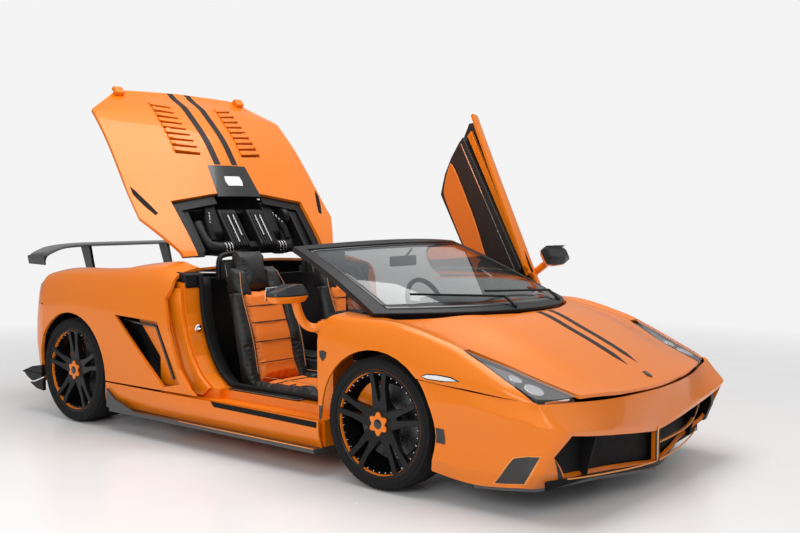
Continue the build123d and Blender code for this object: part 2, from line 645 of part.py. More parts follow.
def steering_wheel():
    x, y, z = STEERING_CENTRE
    toward = Vector(-cos(radians(STEERING_TILT)), 0, sin(radians(STEERING_TILT)))
    plane = Plane(origin=(x, y, z), x_dir=(0, 1, 0), z_dir=toward)
    ring = [(STEERING_R + 14 * cos(radians(a)), 14 * sin(radians(a)), 0) for a in range(0, 360, 45)]
    turned = Solid.revolve(polygon(ring), 360, Axis((0, 0, 0), (0, 1, 0)))
    rim = turned.rotate(Axis((0, 0, 0), (1, 0, 0)), 90).rotate(Axis((0, 0, 0), (0, 1, 0)), STEERING_TILT - 90)
    rim = rim.translate(Vector(x, y, z))
    hub = Solid.make_cylinder(44, 36, plane.offset(-18))
    parts = [rim, hub]
    for angle in (0, 180, 270):
        direction = plane.from_local_coords(Vector(cos(radians(angle)), sin(radians(angle)), 0) * STEERING_R)
        start = Vector(x, y, z)
        parts.append(rod(tuple(start), tuple(start + (direction - start) * 0.985), 10))
    column = Vector(x, y, z) - toward * 150
    parts.append(rod((x, y, z), tuple(column), 26))
    return fuse(parts)


def engine_block():
    return pieces(block((-1330, -250, ENGINE_BASE_Z), (-640, 250, 780)))


def roll_hoops():
    """The padded hoops and the parcel trim behind the seats."""
    out = []
    for side in (1, -1):
        y0 = side * 370
        legs = prism(((-490, 930), (-420, 930), (-424, 1085), (-446, 1104), (-486, 1104)), y0 - 150,
                     y0 + 150, "Y")
        window = prism(((-600, 960), (-300, 960), (-300, 1070), (-600, 1070)), y0 - 105, y0 + 105, "Y")
        out += cut(legs, window)
    shelf = block((-516 + SEAT, -600, 900), (-420, 600, 930))
    tower = prism(((-505, 928), (-440, 928), (-516, 1096), (-560, 1096), (-562, 1064)), 540, 566, "Y")
    pin = drum(COVER_HINGE[0], COVER_HINGE[2], COVER_PIN_R, 560, 604)
    return fuse([shelf] + out + [tower, pin] + mirror_y([tower, pin]))


# ---------------------------------------------------------------- wing, skirts, intakes, tail
WING_SECTION = ((0.0, 0.0, 6.0), (0.12, 16.0, -4.0), (0.35, 24.0, -8.0), (0.65, 22.0, -2.0), (1.0, 14.0, 8.0))
WING_LINE = ((-785, -1912, 1000), (-768, -1914, 1034), (-700, -1936, 1062), (-540, -1986, 1090),
             (-300, -1986, 1098),
             (300, -1986, 1098), (540, -1986, 1090), (700, -1936, 1062), (768, -1914, 1034), (785, -1912,
                                                                                              1000))
WING_CHORD = 214.0
POST_Y, POST_T = 285.0, 10.0


def rear_wing():
    top = [[(x - c * WING_CHORD, y, z + t) for c, t, b in WING_SECTION] for y, x, z in WING_LINE]
    low = [[(x - c * WING_CHORD, y, z + b - 4) for c, t, b in WING_SECTION] for y, x, z in WING_LINE]
    blade = shell_from_grids(top, low)
    posts = [prism(((-1984, 880), (-2042, 880), (-2124, 1102), (-2056, 1102)), s * POST_Y - POST_T / 2,
                   s * POST_Y + POST_T / 2, "Y") for s in (1, -1)]
    return fuse([blade] + posts)


SKIRT_Z, SKIRT_TOP_Z = 124.0, 147.7


def side_skirts():
    """Black lips under the sills, each kicked up into a fin at its rear end."""
    lip = prism(((-985, 880), (-960, 952), (-300, 946), (780, 946), (805, 880)), SKIRT_Z, SKIRT_TOP_Z)
    fin = prism(((-985, SKIRT_TOP_Z), (-700, SKIRT_TOP_Z), (-905, 205), (-985, 262)), 942, 954, "Y")
    left = fuse([lip, fin])
    return left + mirror_y(left)


def side_intakes():
    """The black ducts behind the side openings, each with two slanted blades."""
    duct = prism(((-915, 735), (-495, 716), (-280, 345), (-460, 312)), 842 + SEAT, 852, "Y")
    blades = [prism(((-700 + d, 716), (-690 + d, 716), (-420 + d, 345), (-430 + d, 345)), 852, 896, "Y")
              for d in (-90, 60)]
    left = fuse([duct] + blades)
    return left + mirror_y(left)


def diffuser():
    """Black lower tail with upright fins, and the winglets at the tail's corners."""
    tray = prism(((-1940 - SEAT, 700), (-2120, 640), (-2160, 0), (-2120, -640), (-1940 - SEAT, -700)), 196,
                 208)
    fins = [prism(((-1945, 170), (-2110, 190), (-2130, 262), (-1945, 250)), y - 5, y + 5, "Y")
            for y in (-480, -240, 0, 240, 480)]
    body = fuse([tray] + fins)
    return body


def tail_lamps():
    inner_y, outer_y = LAMP_SLOT[0][0] + SEAT, LAMP_SLOT[2][0] - SEAT
    low, high = LAMP_SLOT[0][1] + SEAT, LAMP_SLOT[2][1] - SEAT
    lamp = prism(((-2100, inner_y), (-2048, outer_y), (-2028, outer_y), (-2080, inner_y)), low, high)
    return pieces(lamp) + mirror_y(lamp)


EXHAUST_YS, EXHAUST_Z, EXHAUST_R = (-330, -190, 190, 330), 330, 44


def exhausts():
    out = []
    for y in EXHAUST_YS:
        tube = rod((-2160, y, EXHAUST_Z), (-1812.3, y, EXHAUST_Z), EXHAUST_R)
        out += pieces(tube - rod((-2170, y, EXHAUST_Z), (-1990, y, EXHAUST_Z), EXHAUST_R - 5))
    return out


# ---------------------------------------------------------------- mirrors, wipers
def mirror_unit(y_sign):
    housing = Solid.make_box(120, 235, 96)
    housing = housing.fillet(26, housing.edges()).translate(Vector(615, 905, 892))
    if y_sign < 0:
        arm = prism(((740, 760), (795, 690), (860, 820), (706, 915), (650, 915)), 880, 930, "Y")
    else:
        arm = prism(((660, 780), (730, 700), (730, 826), (706, 915), (650, 915)), 880, 930, "Y")
    left = fuse([housing, arm])
    return left if y_sign > 0 else mirror_y(left)


def wipers():
    out = []
    for y0, y1 in ((330, -250), (-180, -640)):
        a = screen_point(y0 / SCREEN_BASE_Y, 0.10, -24)
        b = screen_point(y1 / SCREEN_BASE_Y, 0.16, -28)
        foot = screen_point(y0 / SCREEN_BASE_Y, 0.02, -4)
        out += fuse([rod(a, b, 6), rod(foot, a, 8)])
    return out


def rear_view_mirror():
    stem = rod(screen_point(0, 0.86, 15), (600, 0, 1075), 6)
    body = Solid.make_box(26, 230, 60)
    body = body.fillet(11, body.edges()).translate(Vector(578, -115, 1030))
    return fuse([stem, body])


# ---------------------------------------------------------------- intake carried by the cover
def intake_plenums():
    """Two ribbed chambers, their throttle bodies and cross pipe, held in the cover's mouth."""
    parts = []
    for side in (1, -1):
        a, b = sorted((side * 60, side * 250))
        chamber = prism(((-640, 1010), (-930, 1000), (-940, 905), (-650, 915)), a, b, "Y")
        parts.append(chamber)
        parts.append(rod((-650, side * 330, 975), (-930, side * 330, 960), 58))
        parts.append(rod((-780, side * 240, 960), (-780, side * 340, 966), 40))
        a, b = sorted((side * 300, side * 575))
        parts.append(block((-960, a, 925), (-938, b, 985)))
    parts.append(block((-700, -70, 930), (-650, 70, 970)))
    parts.append(block((-962, -600, 915), (-930, 600, 950)))
    for side in (1, -1):
        a, b = sorted((side * 578, side * 600))
        parts.append(block((-962, a, 940), (-930, b, 1022)))
    return raise_cover(fuse(parts))


# ---------------------------------------------------------------- wheels
SPOKES = 5


def tyre(x, y, z, radius, width):
    """Tyre and its bead, turned about the axle."""
    half_w = width / 2
    bead = RIM_FLANGE_R - 8
    outline = ((bead, -half_w + 14), (RIM_FLANGE_R + 4, -half_w + 4), (radius - 34, -half_w - 0),
               (radius - 12, -half_w + 14), (radius, -half_w + 34), (radius, half_w - 34),
               (radius - 12, half_w - 14), (radius - 34, half_w), (RIM_FLANGE_R + 4, half_w - 4),
               (bead, half_w - 14), (bead, half_w - 24), (radius - 16, half_w - 40),
               (radius - 16, -half_w + 40), (bead, -half_w + 24))
    face = polygon([(r, w, 0) for r, w in outline])
    ring = Solid.revolve(face, 360, Axis((0, 0, 0), (0, 1, 0)))
    return pieces(ring.translate(Vector(x, y, z)))


def hub_seat(width):
    """How far outboard of the wheel's middle the hub meets the disc's bell."""
    return width / 2 - 14 - HUB_DEPTH


def rim(x, y, z, width, side):
    """Barrel, flange, hub and five split spokes; the face looks outward on side +1 or -1."""
    half_w = width / 2 - 10
    bead = RIM_FLANGE_R - 9
    face_w = half_w - 4
    barrel = ((bead, -half_w), (bead, half_w), (bead - RIM_WALL, half_w), (bead - RIM_WALL, -half_w))
    ring = Solid.revolve(polygon([(r, w, 0) for r, w in barrel]), 360, Axis((0, 0, 0), (0, 1, 0)))
    hub_out, hub_in = face_w - 26, hub_seat(width)
    parts = [ring, rod((0, hub_in, 0), (0, hub_out, 0), HUB_R)]
    for k in range(SPOKES):
        angle = 360.0 / SPOKES * k + 90
        for spread in (-13, 13):
            inner = (HUB_R - 12, radians(angle + spread * 0.35))
            outer = (bead - 4, radians(angle + spread))
            points = []
            for (r, a), w in ((inner, 15), (outer, 12)):
                points.append((r * cos(a) - w * sin(a), r * sin(a) + w * cos(a)))
                points.append((r * cos(a) + w * sin(a), r * sin(a) - w * cos(a)))
            outline = [points[1], points[3], points[2], points[0]]
            spoke = Solid.extrude(polygon([(a, face_w - 44, b) for a, b in outline]), Vector(0, 34, 0))
            parts.append(spoke)
    wheel = cut(fuse(parts), rod((0, -200, 0), (0, hub_in + SPINDLE_IN, 0), AXLE_R + RUNNING_FIT))
    if side < 0:
        wheel = [s.mirror(Plane.XZ) for s in wheel]
    return [s.translate(Vector(x, y, z)) for s in wheel]


def brake_disc(x, y, z, width, side):
    """Vented disc with its bell, bolted behind the rim's hub."""
    seat_y = hub_seat(width)
    bell = rod((0, DISC_Y + 6, 0), (0, seat_y, 0), 100) - rod((0, -100, 0), (0, seat_y - 9, 0), 90)
    ring = rod((0, DISC_Y - DISC_W / 2, 0), (0, DISC_Y + DISC_W / 2, 0), DISC_R)
    ring = ring - rod((0, -100, 0), (0, 100, 0), 94)
    disc = cut(fuse([ring, bell]), rod((0, -200, 0), (0, 200, 0), AXLE_R + RUNNING_FIT))
    if side < 0:
        disc = mirror_y(disc)
    return [s.translate(Vector(x, y, z)) for s in disc]


def knuckle(x, y, z, width, side):
    """Hub carrier and its spindle, with the steering pivots above and below."""
    spindle = rod((0, KINGPIN_IN, 0), (0, hub_seat(width) + SPINDLE_IN - 6, 0), AXLE_R)
    carrier = rod((0, KINGPIN_IN - 26, 0), (0, -34, 0), 58)
    upright = block((-26, KINGPIN_IN - 24, -KINGPIN_H), (26, KINGPIN_IN + 24, KINGPIN_H))
    ear = block((-150, -64, 60), (-20, -46, 118))
    made = fuse([spindle, carrier, upright, ear])
    if side < 0:
        made = mirror_y(made)
    return [s.translate(Vector(x, y, z)) for s in made]


def caliper(x, y, z, side):
    """A curved clamp over the disc's rear edge, bolted to the carrier's ear."""
    sector = [(r * cos(radians(a)), r * sin(radians(a))) for r, a in
              [(212, a) for a in (118, 130, 142, 154, 166)] + [(118, a) for a in (166, 142, 118)]]
    body = prism(sector, DISC_Y - 38, DISC_Y + 38, "Y")
    slot = rod((0, DISC_Y - DISC_W / 2 - 7, 0), (0, DISC_Y + DISC_W / 2 + 7, 0), DISC_R + 8)
    made = cut(body, slot)
    if side < 0:
        made = mirror_y(made)
    return [s.translate(Vector(x, y, z)) for s in made]


def wishbones(x, y, z, side, inner_y, spread, height):
    """Upper and lower arms from the frame to the carrier's pivots, for one wheel."""
    out = []
    pivot_y = y + side * KINGPIN_IN
    for z_arm, sign in ((z + KINGPIN_H + 15.5, 1), (z - KINGPIN_H - 15.5, -1)):
        tip = (x, pivot_y, z_arm)
        legs = [rod((x + s * spread, side * inner_y, z_arm + sign * height), tip, 13) for s in (1, -1)]
        ball = Solid.make_cylinder(24, 30, Plane(origin=(x, pivot_y, z_arm - 15), z_dir=(0, 0, 1)))
        out += cut(fuse(legs + [ball]), drum(x, z, 10, -100, 100))
    return out


HUB_DEPTH, SPINDLE_IN, RUNNING_FIT = 70.0, 26.0, 0.06
DISC_Y = -8.0
KINGPIN_IN, KINGPIN_H = -75.0, 128.0


def build():
    nodes = body_panels()
    nodes["door_left"], nodes["door_left_trim"] = door()
    nodes["engine_cover"], nodes["cover_panel"] = engine_cover()
    nodes["intake_plenums"] = intake_plenums()
    nodes["front_bumper"] = front_bumper()
    nodes["grilles"] = grilles()
    nodes["windscreen_frame"], screen = windscreen()
    nodes["windscreen_glass"] = screen + quarter_glass()
    nodes["floor_pan"], nodes["footwell"] = floor_pan(), footwell()
    nodes["engine_bay"], nodes["frame_rails"] = engine_bay(), frame_rails()
    nodes["side_structure"] = side_structure()
    nodes["luggage_tub"] = luggage_tub()
    nodes["dashboard"] = dashboard()
    nodes["console"] = console()
    nodes["seat_left"], nodes["seat_right"] = seat(372), seat(-372)
    nodes["steering_wheel"] = steering_wheel()
    nodes["engine_block"] = engine_block()
    nodes["roll_hoops"] = roll_hoops()
    nodes["rear_wing"] = rear_wing()
    nodes["lower_lips"] = splitter() + side_skirts()
    nodes["side_intakes"] = side_intakes()
    nodes["rear_bumper"] = rear_bumper()
    nodes["diffuser"] = diffuser()
    nodes["tail_lamps"] = tail_lamps()
    nodes["exhausts"] = exhausts()
    nodes["mirror_right"] = mirror_unit(-1)
    nodes["mirror_left"] = raise_door(mirror_unit(1))
    nodes["wipers"] = wipers()
    nodes["rear_view_mirror"] = rear_view_mirror()
    nodes["suspension"] = []
    nodes["rear_carriers"], nodes["rear_calipers"] = [], []
    for corner, side in (("left", 1), ("right", -1)):
        front = (FRONT_AXLE_X, side * FRONT_WHEEL_Y, FRONT_TYRE_R)
        rear = (REAR_AXLE_X, side * REAR_WHEEL_Y, REAR_TYRE_R)
        for end, place, radius, width in (("front", front, FRONT_TYRE_R, FRONT_TYRE_W),
                                          ("rear", rear, REAR_TYRE_R, REAR_TYRE_W)):
            nodes[f"tyre_{end}_{corner}"] = tyre(*place, radius, width)
            nodes[f"rim_{end}_{corner}"] = rim(*place, width, side)
            nodes[f"disc_{end}_{corner}"] = brake_disc(*place, width, side)
        nodes[f"knuckle_{corner}"] = knuckle(*front, FRONT_TYRE_W, side)
        nodes[f"caliper_{corner}"] = caliper(*front, side)
        nodes["rear_carriers"] += knuckle(*rear, REAR_TYRE_W, side)
        nodes["rear_calipers"] += caliper(*rear, side)
        nodes["suspension"] += wishbones(*front, side, 500, 150, 12)
        nodes["suspension"] += wishbones(*rear, side, 595, 130, 12)
    trim_to_neighbours(nodes)
    return nodes


def trim_to_neighbours(nodes):
    """Pieces that end on another piece stop at its face."""
    for name, others in (("suspension", ("footwell", "engine_bay", "frame_rails")),
                         ("side_structure", ("quarter_left", "quarter_right", "side_sills")),
                         ("steering_wheel", ("dashboard",)),
                         ("mirror_left", ("door_left", "door_left_trim")),
                         ("mirror_right", ("fender_right",)),
                         ("windscreen_frame", ("fender_left", "fender_right", "dashboard")),
                         ("intake_plenums", ("engine_cover",)),
                         ("rear_wing", ("tail_deck",)), ("grilles", ("front_bumper",)),
                         ("frame_rails", ("front_bumper", "rear_bumper", "grilles")),
                         ("rear_bumper", ("quarter_left", "quarter_right", "tail_deck")), ("wipers",
                                                                                           ("windscreen_frame",)),
                         ("windscreen_glass", ("windscreen_frame",)),
                         ("rear_view_mirror", ("windscreen_glass",)),
                         ("lower_lips", ("front_bumper",)), ("side_intakes", ("side_structure",))):
        tools = [solid for other in others for solid in pieces(nodes[other])]
        nodes[name] = [s for s in cut(nodes[name], *tools) if s.volume > SMALLEST_CHIP]


SMALLEST_CHIP = 4000.0


def main():
    os.makedirs("parts", exist_ok=True)
    for name, solids in build().items():
        found = pieces(solids)
        shape = found[0] if len(found) == 1 else Compound(children=found)
        export_step(shape, f"parts/{name}.step")


if __name__ == "__main__":
    main()
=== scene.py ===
# %% [markdown]
# A mid-engined open sports car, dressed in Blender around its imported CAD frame. This first cell loads
# that frame. Every piece made below is in metres and lies where the frame says.

# %% Load the frame
import json
import math
import bpy
import bmesh
import numpy as np
from mathutils import Matrix, Vector
from mathutils.geometry import delaunay_2d_cdt


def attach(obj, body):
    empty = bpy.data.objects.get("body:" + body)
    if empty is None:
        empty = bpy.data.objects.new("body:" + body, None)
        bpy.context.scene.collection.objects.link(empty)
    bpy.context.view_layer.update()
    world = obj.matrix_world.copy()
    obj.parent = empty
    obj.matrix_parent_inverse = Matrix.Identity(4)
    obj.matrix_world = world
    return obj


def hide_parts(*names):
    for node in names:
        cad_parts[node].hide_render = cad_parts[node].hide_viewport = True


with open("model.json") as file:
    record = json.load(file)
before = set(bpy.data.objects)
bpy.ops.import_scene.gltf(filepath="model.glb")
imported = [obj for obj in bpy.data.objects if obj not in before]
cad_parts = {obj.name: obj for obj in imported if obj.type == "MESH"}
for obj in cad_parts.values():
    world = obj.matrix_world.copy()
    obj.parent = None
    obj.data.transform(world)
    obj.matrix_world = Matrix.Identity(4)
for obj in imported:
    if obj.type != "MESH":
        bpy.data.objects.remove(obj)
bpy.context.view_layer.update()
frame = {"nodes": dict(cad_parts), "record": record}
nodes = frame["nodes"]
scene = bpy.context.scene
MM = 0.001

# %% [markdown]
# Materials are built from small node recipes. `surface` makes a Principled shader from constants, and the
# helpers after it feed noise, weave or grain into its bump, roughness and colour.

# %% Material helpers
def surface(name, color, roughness=0.5, metallic=0.0, **sockets):
    """A Principled material; further sockets are given with underscores for spaces."""
    made = bpy.data.materials.new(name)
    made.use_nodes = True
    shader = made.node_tree.nodes["Principled BSDF"]
    shader.inputs["Base Color"].default_value = (*color, 1)
    shader.inputs["Roughness"].default_value = roughness
    shader.inputs["Metallic"].default_value = metallic
    for key, value in sockets.items():
        shader.inputs[key.replace("_", " ")].default_value = value
    made.diffuse_color = (*color, 1)
    return made


def texture(material, kind, scale, stretch=(1, 1, 1), **settings):
    """A texture node read in Object coordinates, stretched along the axes."""
    tree = material.node_tree
    coords = tree.nodes.new("ShaderNodeTexCoord")
    mapping = tree.nodes.new("ShaderNodeMapping")
    mapping.inputs["Scale"].default_value = stretch
    made = tree.nodes.new(kind)
    made.inputs["Scale"].default_value = scale
    for key, value in settings.items():
        if hasattr(made, key):
            setattr(made, key, value)
        else:
            made.inputs[key.replace("_", " ")].default_value = value
    tree.links.new(coords.outputs["Object"], mapping.inputs["Vector"])
    tree.links.new(mapping.outputs["Vector"], made.inputs["Vector"])
    return made


def bump(material, source, strength, distance):
    tree = material.node_tree
    node = tree.nodes.new("ShaderNodeBump")
    node.inputs["Strength"].default_value = strength
    node.inputs["Distance"].default_value = distance
    tree.links.new(source, node.inputs["Height"])
    shader = tree.nodes["Principled BSDF"]
    tree.links.new(node.outputs["Normal"], shader.inputs["Normal"])
    return node


def vary(material, source, socket, low, high):
    """Drive a shader value by a texture, between low and high."""
    tree = material.node_tree
    node = tree.nodes.new("ShaderNodeMapRange")
    node.inputs["To Min"].default_value = low
    node.inputs["To Max"].default_value = high
    tree.links.new(source, node.inputs["Value"])
    tree.links.new(node.outputs["Result"], tree.nodes["Principled BSDF"].inputs[socket])


def two_tone(material, source, dark, light, start=0.4, end=0.6):
    """Drive the base colour by a texture, between two colours."""
    tree = material.node_tree
    ramp = tree.nodes.new("ShaderNodeValToRGB")
    ramp.color_ramp.elements[0].position, ramp.color_ramp.elements[1].position = start, end
    ramp.color_ramp.elements[0].color = (*dark, 1)
    ramp.color_ramp.elements[1].color = (*light, 1)
    tree.links.new(source, ramp.inputs["Fac"])
    tree.links.new(ramp.outputs["Color"], tree.nodes["Principled BSDF"].inputs["Base Color"])


# %% [markdown]
# The paint carries fine flakes under a clear coat. Carbon is a two-way weave, leather a small cell grain,
# and every metal a fine grain, brushed in one direction on the pipes and discs.

# %% Materials
ORANGE = (0.86, 0.205, 0.004)


def painted(name, color):
    made = surface(name, color, 0.34, 0.0, Coat_Weight=0.35, Coat_Roughness=0.03, Specular_IOR_Level=0.3)
    flakes = texture(made, "ShaderNodeTexVoronoi", 900.0)
    vary(made, flakes.outputs["Distance"], "Metallic", 0.0, 0.2)
    slow = texture(made, "ShaderNodeTexNoise", 22.0)
    vary(made, slow.outputs["Fac"], "Roughness", 0.27, 0.37)
    return made


def woven(name, color, light, scale=520.0, roughness=0.28):
    made = surface(name, color, roughness, 0.0, Coat_Weight=0.6, Coat_Roughness=0.12)
    weave = texture(made, "ShaderNodeTexWave", scale, (1, 1, 1), bands_direction="DIAGONAL", Distortion=0.0)
    other = texture(made, "ShaderNodeTexWave", scale, (1, -1, 1), bands_direction="DIAGONAL", Distortion=0.0)
    tree = made.node_tree
    both = tree.nodes.new("ShaderNodeMath")
    both.operation = "MAXIMUM"
    tree.links.new(weave.outputs["Fac"], both.inputs[0])
    tree.links.new(other.outputs["Fac"], both.inputs[1])
    two_tone(made, both.outputs[0], color, light, 0.3, 0.9)
    return made


def grained(name, color, scale=900.0, roughness=0.52, depth=0.0006):
    made = surface(name, color, roughness, 0.0)
    cells = texture(made, "ShaderNodeTexVoronoi", scale)
    bump(made, cells.outputs["Distance"], 0.35, depth)
    slow = texture(made, "ShaderNodeTexNoise", 14.0)
    vary(made, slow.outputs["Fac"], "Roughness", roughness - 0.08, roughness + 0.1)
    return made


def moulded(name, color, roughness=0.45, scale=1400.0):
    made = surface(name, color, roughness, 0.0, Specular_IOR_Level=0.25)
    stipple = texture(made, "ShaderNodeTexNoise", scale)
    bump(made, stipple.outputs["Fac"], 0.12, 0.0004)
    slow = texture(made, "ShaderNodeTexNoise", 18.0)
    vary(made, slow.outputs["Fac"], "Roughness", roughness - 0.06, roughness + 0.06)
    return made


def metal(name, color, roughness=0.3, stretch=(1, 1, 1), scale=300.0):
    made = surface(name, color, roughness, 1.0)
    grain = texture(made, "ShaderNodeTexNoise", scale, stretch, Detail=4.0)
    vary(made, grain.outputs["Fac"], "Roughness", roughness - 0.1, roughness + 0.14)
    bump(made, grain.outputs["Fac"], 0.05, 0.0003)
    return made


def clear(name, color, roughness=0.02, alpha=0.22, transmission=0.0):
    made = surface(name, color, roughness, 0.0, Alpha=alpha, Coat_Weight=1.0, IOR=1.45)
    made.node_tree.nodes["Principled BSDF"].inputs["Transmission Weight"].default_value = transmission
    dust = texture(made, "ShaderNodeTexNoise", 60.0)
    vary(made, dust.outputs["Fac"], "Roughness", roughness, roughness + 0.03)
    return made


MAT = {
    "paint": painted("paint", ORANGE),
    # A lighter copy of the paint for thin edges and lines: painted highlight where light catches the orange
    # edges.
    "pale_paint": painted("pale paint", (0.95, 0.35, 0.08)),
    "stripe": moulded("stripe", (0.014, 0.006, 0.004), 0.4),
    "carbon": woven("carbon", (0.012, 0.012, 0.013), (0.045, 0.045, 0.048)),
    "satin_black": moulded("satin black", (0.007, 0.007, 0.0075), 0.4),
    "engine_black": moulded("engine black", (0.009, 0.009, 0.0095), 0.42),
    "mesh_black": moulded("mesh black", (0.003, 0.003, 0.003), 0.7),
    "gloss_black": surface("gloss black", (0.005, 0.005, 0.006), 0.2, 0.0, Coat_Weight=0.4),
    "piping": moulded("piping", (0.55, 0.24, 0.1), 0.5),
    "lamp_grey": moulded("lamp housing", (0.16, 0.17, 0.18), 0.35),
    "stem_grey": moulded("mirror cap", (0.022, 0.023, 0.025), 0.3),
    "dark_leather": grained("dark leather", (0.008, 0.0078, 0.0078)),
    "seat_leather": grained("seat leather", (0.01, 0.0095, 0.0095), 700.0, 0.5),
    "orange_leather": grained("orange leather", (0.86, 0.19, 0.012), 700.0, 0.52),
    "rubber": moulded("rubber", (0.005, 0.005, 0.005), 0.7, 500.0),
    "tyre": moulded("tyre rubber", (0.0075, 0.0075, 0.008), 0.74, 260.0),
    "cast_metal": metal("cast metal", (0.42, 0.42, 0.43), 0.45, (1, 1, 1), 90.0),
    "arm_metal": metal("arm metal", (0.3, 0.3, 0.31), 0.4, (1, 1, 1), 120.0),
    "pipe_metal": metal("pipe metal", (0.6, 0.58, 0.55), 0.25, (0.15, 1, 1), 400.0),
    "disc_metal": metal("disc metal", (0.13, 0.13, 0.135), 0.38, (1, 0.1, 1), 350.0),
    "chrome": metal("chrome", (0.78, 0.78, 0.79), 0.12, (1, 1, 1), 80.0),
    "rim_black": moulded("rim black", (0.007, 0.007, 0.0075), 0.3),
    "caliper_paint": painted("caliper paint", ORANGE),
    "clear_glass": clear("clear glass", (0.05, 0.062, 0.066), 0.04, 0.5),
    "lens": clear("lamp cover", (0.5, 0.52, 0.54), 0.03, 0.16),
    "lens_red": clear("red lamp cover", (0.5, 0.01, 0.01), 0.05, 0.85),
    "lamp_white": surface("lamp reflector", (0.82, 0.83, 0.85), 0.14, 0.85, Coat_Weight=1.0),
    "white": surface("plain badge", (0.8, 0.8, 0.8), 0.3, 0.0, Coat_Weight=1.0),
}
print(len(MAT), "materials")

# %% [markdown]
# Mesh helpers: `solid` turns points and faces into an object, `soften` rounds its edges, and `put` hangs
# it on a body and takes over CAD nodes.

# %% Mesh helpers
def solid(name, points, faces, material, smooth=True):
    name = name.replace(" ", "_")
    mesh = bpy.data.meshes.new(name)
    mesh.from_pydata([tuple(p) for p in points], [], [tuple(int(v) for v in f) for f in faces])
    mesh.materials.append(MAT[material])
    mesh.update()
    if smooth:
        mesh.shade_smooth()
    made = bpy.data.objects.new(name, mesh)
    scene.collection.objects.link(made)
    return made


def soften(made, width=0.0015, segments=2, angle=42.0):
    """Round the edges and keep the wide faces flat in shade."""
    bevel = made.modifiers.new("edges", "BEVEL")
    bevel.width, bevel.segments = width, segments
    bevel.limit_method, bevel.angle_limit = "ANGLE", math.radians(angle)
    bevel.harden_normals = True
    return made


def thicken(made, depth, offset=-1.0):
    wall = made.modifiers.new("wall", "SOLIDIFY")
    wall.thickness, wall.offset = depth, offset
    if depth > 0.015 and made.data.materials[0] == MAT["paint"]:
        made.data.materials.append(MAT["satin_black"])
        wall.material_offset = 1
    return made


def put(made, body, takes_over=()):
    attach(made, body)
    if takes_over:
        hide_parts(*takes_over)
    return made


def recalc(made):
    """Turn every face of a closed mesh outward."""
    bm = bmesh.new()
    bm.from_mesh(made.data)
    bmesh.ops.recalc_face_normals(bm, faces=bm.faces)
    bm.to_mesh(made.data)
    bm.free()
    return made


def bake(made):
    """Turn a piece's modifiers into plain mesh."""
    graph = bpy.context.evaluated_depsgraph_get()
    mesh = bpy.data.meshes.new_from_object(made.evaluated_get(graph), preserve_all_data_layers=True,
                                           depsgraph=graph)
    made.modifiers.clear()
    made.data = mesh
    return made


def joined(name, parts):
    """Several meshes as one object, keeping each part's edges and material."""
    for part in parts:
        if part.modifiers:
            bake(part)
    base = parts[0]
    with bpy.context.temp_override(active_object=base, object=base, selected_editable_objects=parts,
                                   selected_objects=parts):
        bpy.ops.object.join()
    base.name = base.data.name = name.replace(" ", "_")
    return base


# %% [markdown]
# The body's master surface is the same table of stations that the CAD uses, read as smooth curves instead
# of flats. `curve` is a cubic that never overshoots its points.

# %% Master surface
STATIONS = (
    (-1845, -295, (815, 300), (840, 350), (866, 440), (880, 580), (874, 715), (830, 860), (786, 872),
     (430, 886), (0, 890)),
    (-1790, -190, (868, 262), (895, 315), (912, 410), (922, 570), (916, 720), (862, 885), (812, 902),
     (440, 905), (0, 898)),
    (-1700, -60, (895, 205), (922, 265), (938, 375), (946, 560), (940, 722), (894, 922), (844, 942),
     (440, 970), (0, 985)),
    (-1380, 0, (905, 155), (935, 235), (947, 365), (952, 560), (950, 740), (900, 958), (852, 982),
     (450, 1022), (0, 1050)),
    (-1010, 0, (905, 152), (935, 236), (945, 362), (950, 560), (946, 735), (898, 958), (852, 994),
     (450, 1034), (0, 1052)),
    (-600, 0, (905, 150), (935, 238), (940, 355), (944, 560), (934, 730), (890, 960), (838, 1022),
     (450, 1058), (0, 1074)),
    (-450, 0, (905, 149), (935, 239), (936, 352), (936, 560), (926, 722), (886, 942), (826, 994), (450, 1040),
     (0, 1050)),
    (0, 0, (905, 148), (932, 240), (922, 346), (926, 560), (922, 705), (888, 900), (814, 940), (450, 960),
     (0, 965)),
    (450, 0, (905, 148), (930, 240), (918, 346), (926, 560), (924, 695), (892, 860), (808, 893), (450, 920),
     (0, 925)),
    (800, 0, (905, 149), (930, 238), (928, 350), (934, 560), (934, 688), (900, 828), (806, 848), (450, 890),
     (0, 900)),
    (1180, 0, (905, 155), (928, 235), (940, 360), (950, 560), (944, 690), (880, 826), (800, 822), (450, 868),
     (0, 880)),
    (1560, 0, (895, 165), (915, 222), (928, 335), (945, 500), (938, 612), (868, 752), (795, 742), (440, 802),
     (0, 824)),
    (1740, 10, (888, 168), (905, 218), (917, 322), (936, 470), (930, 585), (862, 682), (775, 676), (430, 728),
     (0, 748)),
    (1900, 40, (876, 170), (894, 214), (906, 312), (924, 440), (920, 560), (872, 604), (740, 606), (400, 644),
     (0, 662)),
    (2050, 160, (850, 172), (866, 210), (878, 300), (892, 420), (890, 500), (872, 534), (640, 536),
     (330, 522), (0, 514)),
)
HALF_WIDTH = 900.0


